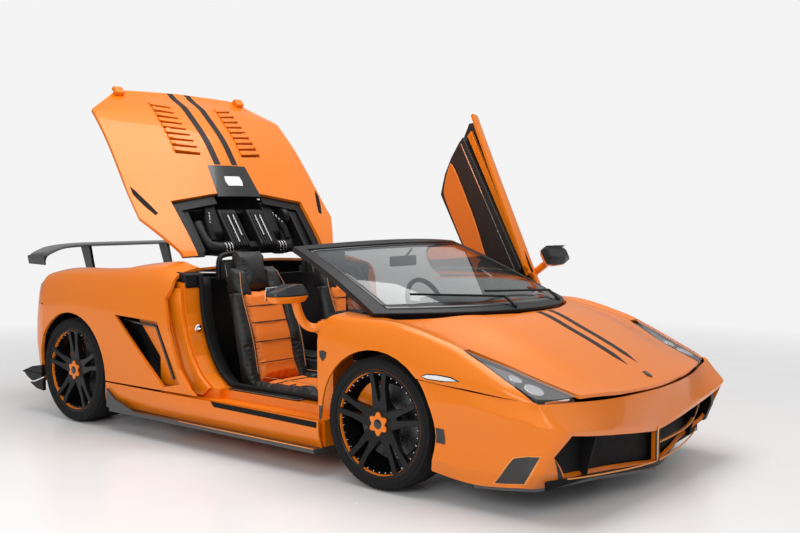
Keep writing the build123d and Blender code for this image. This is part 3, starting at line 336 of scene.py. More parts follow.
def curve(at, values, query):
    """Shape-keeping cubic through values given at increasing places, read at the query places."""
    at, values, query = np.asarray(at, float), np.asarray(values, float), np.asarray(query, float)
    step = np.diff(at)
    rise = np.diff(values, axis=0) / step.reshape(-1, *([1] * (values.ndim - 1)))
    slope = np.zeros_like(values)
    before, after = rise[:-1], rise[1:]
    same = before * after > 0
    w1 = (2 * step[1:] + step[:-1]).reshape(-1, *([1] * (values.ndim - 1)))
    w2 = (step[1:] + 2 * step[:-1]).reshape(-1, *([1] * (values.ndim - 1)))
    safe_b, safe_a = np.where(same, before, 1.0), np.where(same, after, 1.0)
    slope[1:-1] = np.where(same, (w1 + w2) / (w1 / safe_b + w2 / safe_a), 0.0)
    slope[0], slope[-1] = rise[0], rise[-1]
    k = np.clip(np.searchsorted(at, query, side="right") - 1, 0, len(at) - 2)
    shape = (-1, *([1] * (values.ndim - 1)))
    h = step[k].reshape(shape)
    t = ((query - at[k]) / step[k]).reshape(shape)
    return ((1 + 2 * t) * (1 - t) ** 2 * values[k] + t * (1 - t) ** 2 * h * slope[k]
            + t * t * (3 - 2 * t) * values[k + 1] + t * t * (t - 1) * h * slope[k + 1])


class Skin:
    """A surface sampled on a fine grid over two lengths (a, b), with lookups both ways."""

    def __init__(self, a_at, b_at, points, a_count, b_count, straight_b=False):
        a_fine = np.linspace(a_at[0], a_at[-1], a_count)
        b_fine = np.linspace(b_at[0], b_at[-1], b_count)
        along = curve(a_at, points, a_fine)
        swapped = np.swapaxes(along, 0, 1)
        if straight_b:
            k = np.clip(np.searchsorted(b_at, b_fine, side="right") - 1, 0, len(b_at) - 2)
            t = ((b_fine - np.asarray(b_at)[k]) / np.diff(b_at)[k]).reshape(-1, 1, 1)
            fine = swapped[k] * (1 - t) + swapped[k + 1] * t
        else:
            fine = curve(b_at, swapped, b_fine)
        self.grid = np.swapaxes(fine, 0, 1)
        self.a, self.b = a_fine, b_fine

    def at(self, ab):
        """Points of the surface at places (a, b)."""
        ab = np.atleast_2d(np.asarray(ab, float))
        ia = np.clip((ab[:, 0] - self.a[0]) / (self.a[1] - self.a[0]), 0, len(self.a) - 1.000001)
        ib = np.clip((ab[:, 1] - self.b[0]) / (self.b[1] - self.b[0]), 0, len(self.b) - 1.000001)
        i, j = ia.astype(int), ib.astype(int)
        s, t = (ia - i)[:, None], (ib - j)[:, None]
        g = self.grid
        return (g[i, j] * (1 - s) * (1 - t) + g[i + 1, j] * s * (1 - t)
                + g[i, j + 1] * (1 - s) * t + g[i + 1, j + 1] * s * t)

    def normal(self, ab, step=0.004):
        ab = np.atleast_2d(np.asarray(ab, float))
        lo_a = np.clip(ab[:, 0] - step, self.a[0], self.a[-1])
        hi_a = np.clip(ab[:, 0] + step, self.a[0], self.a[-1])
        lo_b = np.clip(ab[:, 1] - step, self.b[0], self.b[-1])
        hi_b = np.clip(ab[:, 1] + step, self.b[0], self.b[-1])
        da = self.at(np.column_stack([hi_a, ab[:, 1]])) - self.at(np.column_stack([lo_a, ab[:, 1]]))
        db = self.at(np.column_stack([ab[:, 0], hi_b])) - self.at(np.column_stack([ab[:, 0], lo_b]))
        n = np.cross(da, db)
        return n / np.linalg.norm(n, axis=1)[:, None]

    def find(self, target, axes, where):
        """The place (a, b) whose point is nearest the target on the given axes, inside a mask."""
        d = sum((self.grid[..., k] - v) ** 2 for k, v in zip(axes, target))
        d = np.where(where, d, np.inf)
        i, j = np.unravel_index(np.argmin(d), d.shape)
        ab = np.array([self.a[i], self.b[j]])
        e = 0.003
        for _ in range(4):
            p = self.at(ab)[0]
            pa = (self.at([ab[0] + e, ab[1]])[0] - self.at([ab[0] - e, ab[1]])[0]) / (2 * e)
            pb = (self.at([ab[0], ab[1] + e])[0] - self.at([ab[0], ab[1] - e])[0]) / (2 * e)
            J = np.array([[pa[k], pb[k]] for k in axes])
            r = np.array([v - p[k] for k, v in zip(axes, target)])
            move = np.linalg.lstsq(J, r, rcond=0.05)[0]
            move = np.clip(move, -0.01, 0.01)
            ab = np.array([np.clip(ab[0] + move[0], self.a[0], self.a[-1]),
                           np.clip(ab[1] + move[1], self.b[0], self.b[-1])])
        return ab


def body_skin():
    rows = []
    for x0, bow, *half in STATIONS:
        left = [(x0 + bow * (1 - min(y / HALF_WIDTH, 1) ** 2), y, z) for y, z in half]
        right = [(x, -y, z) for x, y, z in left[:-1]]
        rows.append(right + left[::-1])
    points = np.array(rows) * MM
    b_at = np.concatenate([[0], np.cumsum(np.linalg.norm(np.diff(points, axis=1), axis=2).mean(0))])
    b_at -= b_at[-1] / 2
    a_at = np.array([row[0] for row in STATIONS]) * MM
    return Skin(a_at, b_at, points, 520, 321), b_at


BODY, BODY_B = body_skin()
CREST_B = BODY_B[-6]
print("body skin", BODY.grid.shape, "half girth", round(float(BODY_B[-1]), 3))

# %% [markdown]
# A panel is an outline on a skin, filled with points and joined into triangles. Outline points name the
# view they are measured in: "top" is (x, y), "side" (x, z), "nose" and "tail" lie on the surface's ends.

# %% Panel maker
PANEL_WALL, PANEL_EDGE, PANEL_STEP = 0.019, 0.0016, 0.018
WHOLE = 400     # a stretch no outline exceeds, so its lines are not divided


def inside(points, polygon):
    """Which points lie within a closed polygon."""
    x, y = points[:, 0], points[:, 1]
    result = np.zeros(len(points), bool)
    px, py = polygon[:, 0], polygon[:, 1]
    for k in range(len(polygon)):
        x0, y0, x1, y1 = px[k - 1], py[k - 1], px[k], py[k]
        crosses = (y0 > y) != (y1 > y)
        if y0 != y1:
            result ^= crosses & (x < (x1 - x0) * (y - y0) / (y1 - y0) + x0)
    return result


def dense(points, step):
    """The closed polyline with extra points so that no stretch is longer than step."""
    out = []
    for k in range(len(points)):
        a, b = np.array(points[k]), np.array(points[(k + 1) % len(points)])
        n = max(1, int(np.ceil(np.linalg.norm(b - a) / step)))
        out += [a + (b - a) * t / n for t in range(n)]
    return np.array(out)


def fill(skin, outline, holes=(), step=PANEL_STEP, lines=()):
    """Points and triangles of an outlined part of a skin, in its (a, b) lengths."""
    rim = dense(outline, step * 0.7)
    rings = [rim] + [dense(h, step * 0.6) for h in holes]
    low, high = rim.min(0), rim.max(0)
    ga, gb = np.meshgrid(np.arange(low[0], high[0], step), np.arange(low[1], high[1], step * 0.866),
                         indexing="ij")
    ga = ga + (np.arange(ga.shape[1]) % 2)[None, :] * step / 2
    cloud = np.column_stack([ga.ravel(), gb.ravel()])
    keep = inside(cloud, rim)
    for ring in rings[1:]:
        keep &= ~inside(cloud, ring)
    cloud = cloud[keep]
    edge = np.vstack(rings)
    near = np.array([np.min(np.sum((edge - p) ** 2, axis=1)) for p in cloud]) if len(cloud) else np.zeros(0)
    cloud = cloud[near > (step * 0.42) ** 2] if len(cloud) else cloud
    points, edges = [], []
    for ring in rings:
        start = len(points)
        points += [Vector(p) for p in ring]
        edges += [(start + k, start + (k + 1) % len(ring)) for k in range(len(ring))]
    for line in lines:
        start = len(points)
        points += [Vector(p) for p in line]
        edges += [(start + k, start + k + 1) for k in range(len(line) - 1)]
    points += [Vector(p) for p in cloud]
    verts, _, faces, *_ = delaunay_2d_cdt(points, edges, [], 0, 1e-5)
    flat = np.array([tuple(v) for v in verts])
    tris = np.array([f for f in faces if len(f) == 3])
    centre = flat[tris].mean(axis=1)
    keep = inside(centre, rim)
    for ring in rings[1:]:
        keep &= ~inside(centre, ring)
    tris = tris[keep]
    used = np.unique(tris)
    index = -np.ones(len(flat), int)
    index[used] = np.arange(len(used))
    return flat[used], index[tris]


def place(kind, u, v, side=1):
    """An outline point, given in millimetres in one view, as a place on the body skin."""
    b = BODY.b[None, :] * np.ones((len(BODY.a), 1))
    if kind == "ab":
        return np.array([u, v])
    if kind == "top":
        where = (np.sign(v) * b >= 0) & (np.abs(b) <= CREST_B + 0.05) if v else np.abs(b) < 0.02
        return BODY.find((u * MM, v * MM), (0, 1), where)
    if kind == "side":
        return BODY.find((u * MM, v * MM), (0, 2), b >= CREST_B - 0.06)
    row = -1 if kind == "nose" else 0
    j = np.argmin(np.where(np.abs(BODY.b) <= CREST_B + 0.08, np.abs(BODY.grid[row, :, 1] - u * MM), 9))
    return np.array([BODY.a[row], BODY.b[j]])


def trace(points, step=30.0):
    """Place a polyline of view points, keeping each stretch true to its own view."""
    out = []
    for k, (kind, u, v) in enumerate(points):
        out.append(place(kind, u, v))
        nxt = points[(k + 1) % len(points)]
        if nxt[0] == kind and kind in ("top", "side"):
            n = int(np.hypot(nxt[1] - u, nxt[2] - v) // step)
            out += [place(kind, u + (nxt[1] - u) * t / (n + 1), v + (nxt[2] - v) * t / (n + 1))
                    for t in range(1, n + 1)]
    return out


def panel(name, outline, holes=(), material="paint", wall=PANEL_WALL, skin=None, mirrored=False, depth=0.0,
          step=PANEL_STEP, edge=PANEL_EDGE):
    """A painted sheet on a skin; mirrored builds it on the other side, depth sinks it under the surface."""
    skin = skin or BODY
    flat, tris = fill(skin, np.array(outline), [np.array(h) for h in holes], step)
    points = skin.at(flat) - skin.normal(flat) * depth
    if mirrored:
        points = points * (1, -1, 1)
        tris = tris[:, ::-1]
    made = solid(name, points, tris, material)
    thicken(made, wall)
    return soften(made, edge)


def arc(centre, radius, start, end, count=14):
    """Points of a wheel arch seen from the side, angles in degrees from forward, counting up."""
    x, z = centre
    return [("side", x + radius * math.cos(math.radians(a)), z + radius * math.sin(math.radians(a)))
            for a in np.linspace(start, end, count)]


def polyline(kind, points):
    return [(kind, u, v) for u, v in points]


def traced(kind, points, step=30.0):
    """A closed outline given in one view, placed on the body skin."""
    return trace(polyline(kind, points), step)


# %% [markdown]
# The painted panels follow the CAD outlines: fenders, quarters, sills and the tail deck. The right side
# is the left one mirrored.

# %% Outer panels
FRONT_AXLE, REAR_AXLE = (1180, 325), (-1380, 332)
FRONT_ARCH, REAR_ARCH = 362, 372
DOOR_HINGE = (950.0, 700.0)
THIN_WALL, SILL_WALL = 0.012, 0.008


def hinge_arc(radius):
    """Points of the round shut line about the door's hinge, from the front upwards."""
    x, z = DOOR_HINGE
    return [("side", x - radius * math.cos(math.radians(a)), z + radius * math.sin(math.radians(a)))
            for a in (0, 12, 24, 36, 48, 56)]


fender_line = trace(
    [("side", 797, 306), ("side", 816, 306)] + arc(FRONT_AXLE, FRONT_ARCH, 177, 45.8)
    + polyline("side", [(1440, 578), (1560, 567), (1740, 556), (1900, 541), (2010, 529), (2046, 526)])
    + polyline("top", [(2046, 889), (1655, 867), (1640, 806), (1424, 792), (1185, 792), (880, 799),
                       (880, 868)])
    + [("side", 880, 838)] + hinge_arc(153)[::-1])
quarter_line = trace(
    [("side", -170, 306), ("side", -1007, 306)] + arc(REAR_AXLE, REAR_ARCH, -4, 147.5, 20)
    + polyline("side", [(-1695, 742), (-1858, 748)])
    + [("tail", 800, 0), ("tail", 528, 0)]
    + polyline("top", [(-1952, 528), (-1738, 816), (-1082, 846), (-858, 848), (-600, 682), (-552, 676),
                       (-410, 690), (-410, 860)])
    + polyline("side", [(-410, 904), (-453, 840), (-405, 665), (-315, 443), (-222, 337)]))
intake_line = traced("side", [(-905, 722), (-508, 704), (-300, 356), (-450, 326)])
SKIRT_B = float(BODY.b[-1])
sill_line = trace(
    polyline("side", [(797, 291), (-160, 291), (-1009, 296)]) + arc(REAR_AXLE, REAR_ARCH, -5.5, -28, 6)
    + [("ab", -1.052, SKIRT_B), ("ab", 0.797, SKIRT_B)])

for side, flip in (("left", False), ("right", True)):
    put(panel(f"fender {side}", fender_line, wall=THIN_WALL, mirrored=flip), "shell", [f"fender_{side}"])
    put(panel(f"quarter {side}", quarter_line, [intake_line], mirrored=flip), "shell", [f"quarter_{side}"])
sills = joined("side sills", [panel(f"sill {k}", sill_line, wall=SILL_WALL, mirrored=bool(k))
                              for k in (0, 1)])
put(sills, "shell", ["side_sills"])
deck_line = trace([("top", -1983, 527), ("top", -1983, -527), ("tail", -527, 0), ("tail", 527, 0)])
put(panel("tail deck", deck_line), "shell", ["tail_deck"])
print("outer panels done")

# %% [markdown]
# The front lid and the engine cover cross the middle of the car. The cover is built shut and then turned
# up about its hinge, as the door is.

# %% Lid and cover
def turn_about(point, axis, degrees):
    """The turn that raises a shut piece about its hinge."""
    here = Vector(point)
    turn = Matrix.Rotation(math.radians(degrees), 4, axis)
    return Matrix.Translation(here) @ turn @ Matrix.Translation(-here)


COVER_TURN = turn_about((-0.545, 0, 1.078), "Y", 57)
DOOR_TURN = turn_about((0.95, 0.87, 0.7), Vector((0.158, 1, -0.25)).normalized(), 58)
COVER_WALL = 0.024
LOUVRES = 9


def louvre(k):
    """Where louvre k begins, and how far from the middle its two ends lie."""
    return -1330 - 52 * k, 180 + 3 * k, 372 - 3 * k


def both(points):
    """A half outline and its mirror image, in order round the piece."""
    return list(points) + [(x, -y) for x, y in reversed(points) if y]


lid_half = [(1540, 0), (1520, 200), (1448, 400), (1335, 600), (1188, 786), (1420, 786), (1628, 800),
            (1842, 713), (2118, 644)]
lid_line = trace(polyline("top", lid_half[::-1]) + polyline("top", [(x, -y) for x, y in lid_half[1:]])
                 + [("nose", -640, 0), ("nose", 0, 0), ("nose", 640, 0)])
put(panel("front lid", lid_line), "lid", ["front_lid"])

cover_half = [(-560, 560), (-560, 664), (-600, 672), (-862, 838), (-1080, 836), (-1730, 805), (-1940, 519),
              (-1962, 0)]
mouth_half = [(-1250, 165), (-1025, 187.5), (-1025, 205), (-975, 574)]
cover_line = traced("top", cover_half + [(x, -y) for x, y in reversed(cover_half[:-1])]
                    + [(x, -y) for x, y in reversed(mouth_half)] + mouth_half)
louvres = []
for k in range(LOUVRES):
    x, near, far = louvre(k)
    for s in (1, -1):
        slot = [(x, s * near), (x - 22, s * near), (x - 40, s * far), (x - 18, s * far)]
        louvres.append(traced("top", slot, WHOLE))
cover = panel("engine cover", cover_line, louvres, wall=COVER_WALL)
cover.data.transform(COVER_TURN)
put(cover, "cover", ["engine_cover"])
panel_line = traced("top", both([(-1001, 189), (-1249, 165)]))
centre = panel("cover centre panel", panel_line, material="gloss_black", wall=COVER_WALL)
centre.data.transform(COVER_TURN)
put(centre, "cover", ["cover_panel"])
print("lid and cover done")

# %% [markdown]
# The raised door's outer skin has a round shut line about its hinge, and a notch that clears the windscreen
# pillar.

# %% Door skin
door_line = trace(
    [("side", 792, 300)] + hinge_arc(158) + [("side", 861, 832)]
    + polyline("top", [(861, 862), (760, 862), (683, 800), (-405, 800), (-405, 868)])
    + polyline("side", [(-405, 905), (-448, 840), (-400, 665), (-310, 443), (-215, 335), (-120, 300)]))
door = panel("door skin", door_line)
door.data.transform(DOOR_TURN)
put(door, "door", ["door_left"])

# %% [markdown]
# The nose and tail panels have their own skins: columns of five points that run round the corners. Their
# crease rows stay straight, so the panels keep crisp fold lines.

# %% Nose and tail panels
NOSE = (
    ((1440, 898, 152), (1440, 932, 212), (1440, 928, 325), (1440, 946, 465), (1440, 938, 572)),
    ((1740, 900, 124), (1740, 925, 198), (1740, 922, 315), (1740, 948, 487), (1740, 931, 548)),
    ((1900, 900, 138), (1900, 922, 205), (1900, 924, 318), (1900, 938, 462), (1900, 916, 536)),
    ((1988, 892, 148), (2010, 914, 215), (2032, 922, 312), (2052, 914, 440), (2010, 903, 531)),
    ((2012, 800, 130), (2088, 872, 222), (2112, 890, 300), (2186, 850, 417), (2062, 893, 526)),
    ((2038, 620, 122), (2112, 690, 195), (2160, 712, 300), (2202, 700, 396), (2112, 700, 511)),
    ((2088, 400, 118), (2142, 440, 180), (2178, 455, 290), (2210, 460, 366), (2168, 450, 498)),
    ((2150, 210, 111), (2180, 210, 165), (2194, 210, 270), (2208, 210, 328), (2198, 210, 493)),
    ((2192, 0, 102), (2197, 0, 148), (2197, 0, 250), (2199, 0, 306), (2206, 0, 491)),
)
TAIL = (
    ((-1700, 925, 205), (-1700, 938, 320), (-1700, 944, 450), (-1700, 944, 600), (-1700, 936, 732)),
    ((-1790, 895, 252), (-1794, 908, 340), (-1800, 918, 470), (-1798, 918, 615), (-1792, 912, 741)),
    ((-1846, 862, 258), (-1856, 876, 345), (-1866, 884, 475), (-1864, 882, 620), (-1852, 874, 741)),
    ((-1905, 800, 262), (-1925, 812, 350), (-1938, 818, 478), (-1934, 814, 628), (-1896, 806, 851)),
    ((-1975, 690, 266), (-1996, 700, 350), (-2012, 705, 480), (-2008, 702, 635), (-1967, 690, 855)),
    ((-2070, 440, 270), (-2096, 445, 350), (-2112, 450, 482), (-2106, 450, 640), (-2067, 440, 865)),
    ((-2105, 0, 275), (-2132, 0, 350), (-2148, 0, 485), (-2142, 0, 645), (-2137, 0, 869)),
)
GRILLE = ((26, 286), (455, 338), (690, 372), (806, 392), (858, 296), (690, 172), (440, 158), (26, 138))
LAMP_SLOT = ((330, 655), (330, 738), (735, 715), (735, 640))


def wrapped_skin(columns, straight=True):
    """A skin from a corner panel's columns, running from the left wheel round to the right one."""
    full = [list(c) for c in columns] + [[(x, -y, z) for x, y, z in c] for c in reversed(columns[:-1])]
    points = np.array(full) * MM
    a_at = np.concatenate([[0], np.cumsum(np.linalg.norm(np.diff(points[:, 2], axis=0), axis=1))])
    b_at = np.concatenate([[0], np.cumsum(np.linalg.norm(np.diff(points, axis=1), axis=2).mean(0))])
    return Skin(a_at, b_at, points, 561, 101, straight_b=straight), a_at, b_at


def corner_panel(name, columns, arch, mouths, sign):
    """A wrapped panel with its arches and mouths cut out; sign is 1 for the nose, -1 for the tail."""
    skin, a_at, b_at = wrapped_skin(columns)
    middle = a_at[-1] / 2
    left = skin.a[:, None] <= middle
    everywhere = np.ones((1, len(skin.b)), bool)

    def spot(target, axes, where):
        return skin.find([t * MM for t in target], axes, where & everywhere)

    near_wheel = left & (np.abs(skin.grid[..., 0] - columns[0][2][0] * MM) < 0.2)
    arch_line = [spot(p, (0, 2), near_wheel) for p in arch]
    mirrored = [np.array([a_at[-1] - p[0], p[1]]) for p in arch_line[::-1]]
    top, low = b_at[-1], b_at[0]
    outline = [np.array([arch_line[0][0], low])] + arch_line + [np.array([arch_line[-1][0], top])]
    outline += [np.array([a_at[-1] - arch_line[-1][0], top])] + mirrored
    outline += [np.array([a_at[-1] - arch_line[0][0], low])]
    holes = []
    ends = left & (np.abs(skin.grid[..., 1]) < 0.9) & (sign * skin.grid[..., 0] > 1.9)
    for mouth in mouths:
        ring = [spot(p, (1, 2), ends) for p in mouth]
        holes += [ring, [np.array([a_at[-1] - p[0], p[1]]) for p in ring[::-1]]]
    span = np.linspace(arch_line[0][0] + 0.06, a_at[-1] - arch_line[0][0] - 0.06, 140)
    lines = [[(a, b) for a in span] for b in b_at[1:-1]]
    flat, tris = fill(skin, np.array(outline), [np.array(h) for h in holes], PANEL_STEP, lines)
    points = skin.at(flat)
    made = solid(name, points, tris, "paint")
    outward = np.array([sign, 0, 0.0])
    centre_face = tris[np.argmin(np.abs(flat[tris].mean(1)[:, 0] - middle))]
    p = points[centre_face]
    if np.dot(np.cross(p[1] - p[0], p[2] - p[0]), outward) < 0:
        made.data.flip_normals()
    return soften(thicken(made, PANEL_WALL), PANEL_EDGE, 2, 24), skin


def angles(count):
    """Equal steps round a full turn, in radians."""
    return np.linspace(0, 2 * math.pi, count, False)


def oval(u, v, half_u, half_v, count=20):
    return [(u + half_u * math.cos(t), v + half_v * math.sin(t)) for t in angles(count)]


front_arch = [(x, z) for _, x, z in arc(FRONT_AXLE, FRONT_ARCH, -28, 43)]
rear_arch = [(REAR_AXLE[0] - REAR_ARCH * math.cos(math.radians(a)),
              REAR_AXLE[1] + REAR_ARCH * math.sin(math.radians(a))) for a in np.linspace(-18, 30, 10)]
rear_arch += [(-1700, 560), (-1700, 700)]
nose, NOSE_SKIN = corner_panel("nose panel", NOSE, front_arch, [GRILLE], 1)
put(nose, "shell", ["front_bumper"])
PIPE_Z, PIPES_Y, PIPE_CUT = 330, (190, 330), 50
pipe_cuts = [oval(y, PIPE_Z, PIPE_CUT, PIPE_CUT) for y in PIPES_Y]
tow_cut = oval(560, PIPE_Z, 24, 24)
tail, _ = corner_panel("tail panel", TAIL, rear_arch, [LAMP_SLOT, *pipe_cuts, tow_cut], -1)
put(tail, "shell", ["rear_bumper"])
print("nose and tail done")

# %% [markdown]
# Shapes that aren't panels are slabs of an outline, tubes along a line, or turned profiles. `repeat` is a
# Geometry Nodes group that copies one small piece round an axle or along a step.

# %% Shape makers
TURN_TO = {"Z": lambda u, v, w: (u, v, w), "Y": lambda u, v, w: (u, w, v), "X": lambda u, v, w: (w, u, v)}


def prism(name, low, high, material):
    """A closed solid between two outlines in millimetres with equally many points."""
    n = len(low)
    faces = [tuple(range(n)), tuple(range(n, 2 * n))[::-1]]
    faces += [(k, (k + 1) % n, n + (k + 1) % n, n + k) for k in range(n)]
    return recalc(solid(name, [np.array(p) * MM for p in low + high], faces, material))


def slab(name, outline, low, high, axis="Z", material="satin_black", edge=0.003, segments=3):
    """A slab in millimetres: points are (x, y) for Z, (x, z) for Y and (y, z) for X."""
    ends = [[TURN_TO[axis](u, v, w) for u, v in outline] for w in (low, high)]
    made = prism(name, *ends, material)
    return soften(made, edge, segments, 20) if edge else made


def plate(name, outline, near, far, material="satin_black", edge=0.003, segments=3):
    """A slab between two planes across the car, its outline given as (x, z)."""
    return slab(name, outline, near, far, "Y", material, edge, segments)


def tube(name, points, radius, material, sides=14, flat=1.0, closed=False):
    """A round bar along a line of points in millimetres; flat squeezes it in height."""
    line = [Vector(p) * MM for p in points]
    n = len(line)
    rings, normal = [], None
    for k in range(n):
        ahead = line[(k + 1) % n] if closed or k < n - 1 else line[k]
        back = line[k - 1] if closed or k else line[k]
        along = (ahead - back).normalized()
        if normal is None:
            normal = along.orthogonal().normalized() if abs(along.z) > 0.9 else Vector((0, 0, 1))
        normal = (normal - along * normal.dot(along)).normalized()
        side = along.cross(normal)
        rings.append([line[k] + (normal * math.cos(t) * flat + side * math.sin(t)) * radius * MM
                      for t in angles(sides)])
    faces = [(k * sides + j, k * sides + (j + 1) % sides, (k + 1) % n * sides + (j + 1) % sides,
              (k + 1) % n * sides + j)
             for k in range(n if closed else n - 1) for j in range(sides)]
    if not closed:
        faces += [tuple(range(sides)), tuple(range((n - 1) * sides, n * sides))]
    return recalc(solid(name, [p for ring in rings for p in ring], faces, material))


def rounded(points, times=2):
    """The polyline with its corners cut, again and again."""
    points = [Vector(p) for p in points]
    for _ in range(times):
        out = [points[0]]
        for a, b in zip(points, points[1:]):
            out += [a.lerp(b, 0.25), a.lerp(b, 0.75)]
        points = out + [points[-1]]
    return points


def rounded_outline(points, times=2):
    """A closed outline with its corners cut, as (u, v) pairs."""
    for _ in range(times):
        ends = zip(points, points[1:] + points[:1])
        points = [(a[0] * (1 - t) + b[0] * t, a[1] * (1 - t) + b[1] * t) for a, b in ends
                  for t in (0.25, 0.75)]
    return points


def lathe(name, profile, material, segments=96, centre=(0, 0, 0)):
    """A closed profile of (radius, y) in millimetres, turned about the Y axis through centre."""
    n = len(profile)
    points, faces = [], []
    for k in range(segments):
        t = 2 * math.pi * k / segments
        points += [Vector((centre[0] + r * math.cos(t), centre[1] + y, centre[2] + r * math.sin(t))) * MM
                   for r, y in profile]
        m = (k + 1) % segments
        faces += [(k * n + j, k * n + (j + 1) % n, m * n + (j + 1) % n, m * n + j) for j in range(n)]
    made = recalc(solid(name, points, faces, material))
    return soften(made, 0.0012, 2, 30)


def repeat_group():
    """Count copies of a piece, each turned about Y and shifted by a step from the last."""
    group = bpy.data.node_groups.new("Repeat piece", "GeometryNodeTree")
    face = group.interface
    face.new_socket("Geometry", in_out="INPUT", socket_type="NodeSocketGeometry")
    for title, kind in (("Piece", "NodeSocketObject"), ("Count", "NodeSocketInt"),
                        ("Turn", "NodeSocketFloat"), ("Step", "NodeSocketVector"),
                        ("Finish", "NodeSocketMaterial")):
        face.new_socket(title, in_out="INPUT", socket_type=kind)
    face.new_socket("Geometry", in_out="OUTPUT", socket_type="NodeSocketGeometry")
    new, link = group.nodes.new, group.links.new
    given, out = new("NodeGroupInput"), new("NodeGroupOutput")
    info, points = new("GeometryNodeObjectInfo"), new("GeometryNodePoints")
    index = new("GeometryNodeInputIndex")
    shift, turn, spin = new("ShaderNodeVectorMath"), new("ShaderNodeMath"), new("ShaderNodeCombineXYZ")
    shift.operation, turn.operation = "SCALE", "MULTIPLY"
    copies, real = new("GeometryNodeInstanceOnPoints"), new("GeometryNodeRealizeInstances")
    dress = new("GeometryNodeSetMaterial")
    link(given.outputs["Piece"], info.inputs["Object"])
    link(given.outputs["Count"], points.inputs["Count"])
    link(given.outputs["Step"], shift.inputs[0])
    link(index.outputs[0], shift.inputs["Scale"])
    link(shift.outputs[0], points.inputs["Position"])
    link(given.outputs["Turn"], turn.inputs[0])
    link(index.outputs[0], turn.inputs[1])
    link(turn.outputs[0], spin.inputs["Y"])
    link(points.outputs[0], copies.inputs["Points"])
    link(info.outputs["Geometry"], copies.inputs["Instance"])
    link(spin.outputs[0], copies.inputs["Rotation"])
    link(copies.outputs[0], real.inputs[0])
    link(real.outputs[0], dress.inputs["Geometry"])
    link(given.outputs["Finish"], dress.inputs["Material"])
    link(dress.outputs[0], out.inputs[0])
    return group


REPEAT = repeat_group()
SOCKETS = {item.name: item.identifier for item in REPEAT.interface.items_tree if item.in_out == "INPUT"}


def repeat(piece, count, turn=0.0, step=(0, 0, 0)):
    """The piece and its copies as one mesh object; the first piece is used up."""
    holder = bpy.data.objects.new(piece.name + "_row", bpy.data.meshes.new(piece.name))
    scene.collection.objects.link(holder)
    nodes_mod = holder.modifiers.new("repeat", "NODES")
    nodes_mod.node_group = REPEAT
    finish = piece.data.materials[0]
    for title, value in (("Piece", piece), ("Count", count), ("Turn", turn),
                         ("Step", tuple(v * MM for v in step)), ("Finish", finish)):
        nodes_mod[SOCKETS[title]] = value
    bpy.context.view_layer.update()
    mesh = bpy.data.meshes.new_from_object(holder.evaluated_get(bpy.context.evaluated_depsgraph_get()))
    holder.modifiers.clear()
    holder.data = mesh
    bpy.data.objects.remove(piece)
    return holder


def around(piece, count):
    """Copies of a piece in equal steps round its axle."""
    return repeat(piece, count, 2 * math.pi / count)


def moved(made, matrix):
    made.data.transform(matrix)
    if matrix.determinant() < 0:
        made.data.flip_normals()
    return made


def decal(name, outline, material, depth=-0.0009, wall=0.0008, mirrored=False, step=0.02, skin=None,
          turn=None):
    made = panel(name, outline, (), material, wall, skin, mirrored, depth, step, edge=0.0002)
    return moved(made, turn) if turn else made


# %% [markdown]
# Each wheel is built about its axle at the origin, facing +Y, and then moved to its place. Five forked
# spokes lie over an orange ring, with small studs round the barrel and a lobed cap.

# %% Wheels
SPOKES, STUDS, SIPES, GROOVES = 5, 40, 72, 4
TYRE_STEPS = 128
FORK = [(259, -58), (256, -27), (122, -8), (108, 0), (122, 8), (256, 27), (259, 58), (170, 43), (96, 46),
        (60, 46), (60, -46), (96, -46), (170, -43)]
SPOKE_SLOPE = 0.11      # how much further in a spoke's face lies for each millimetre towards the hub


def lobed(t):
    """The cap's radius at an angle: six lobes."""
    return 50 + 9 * math.cos(6 * t)


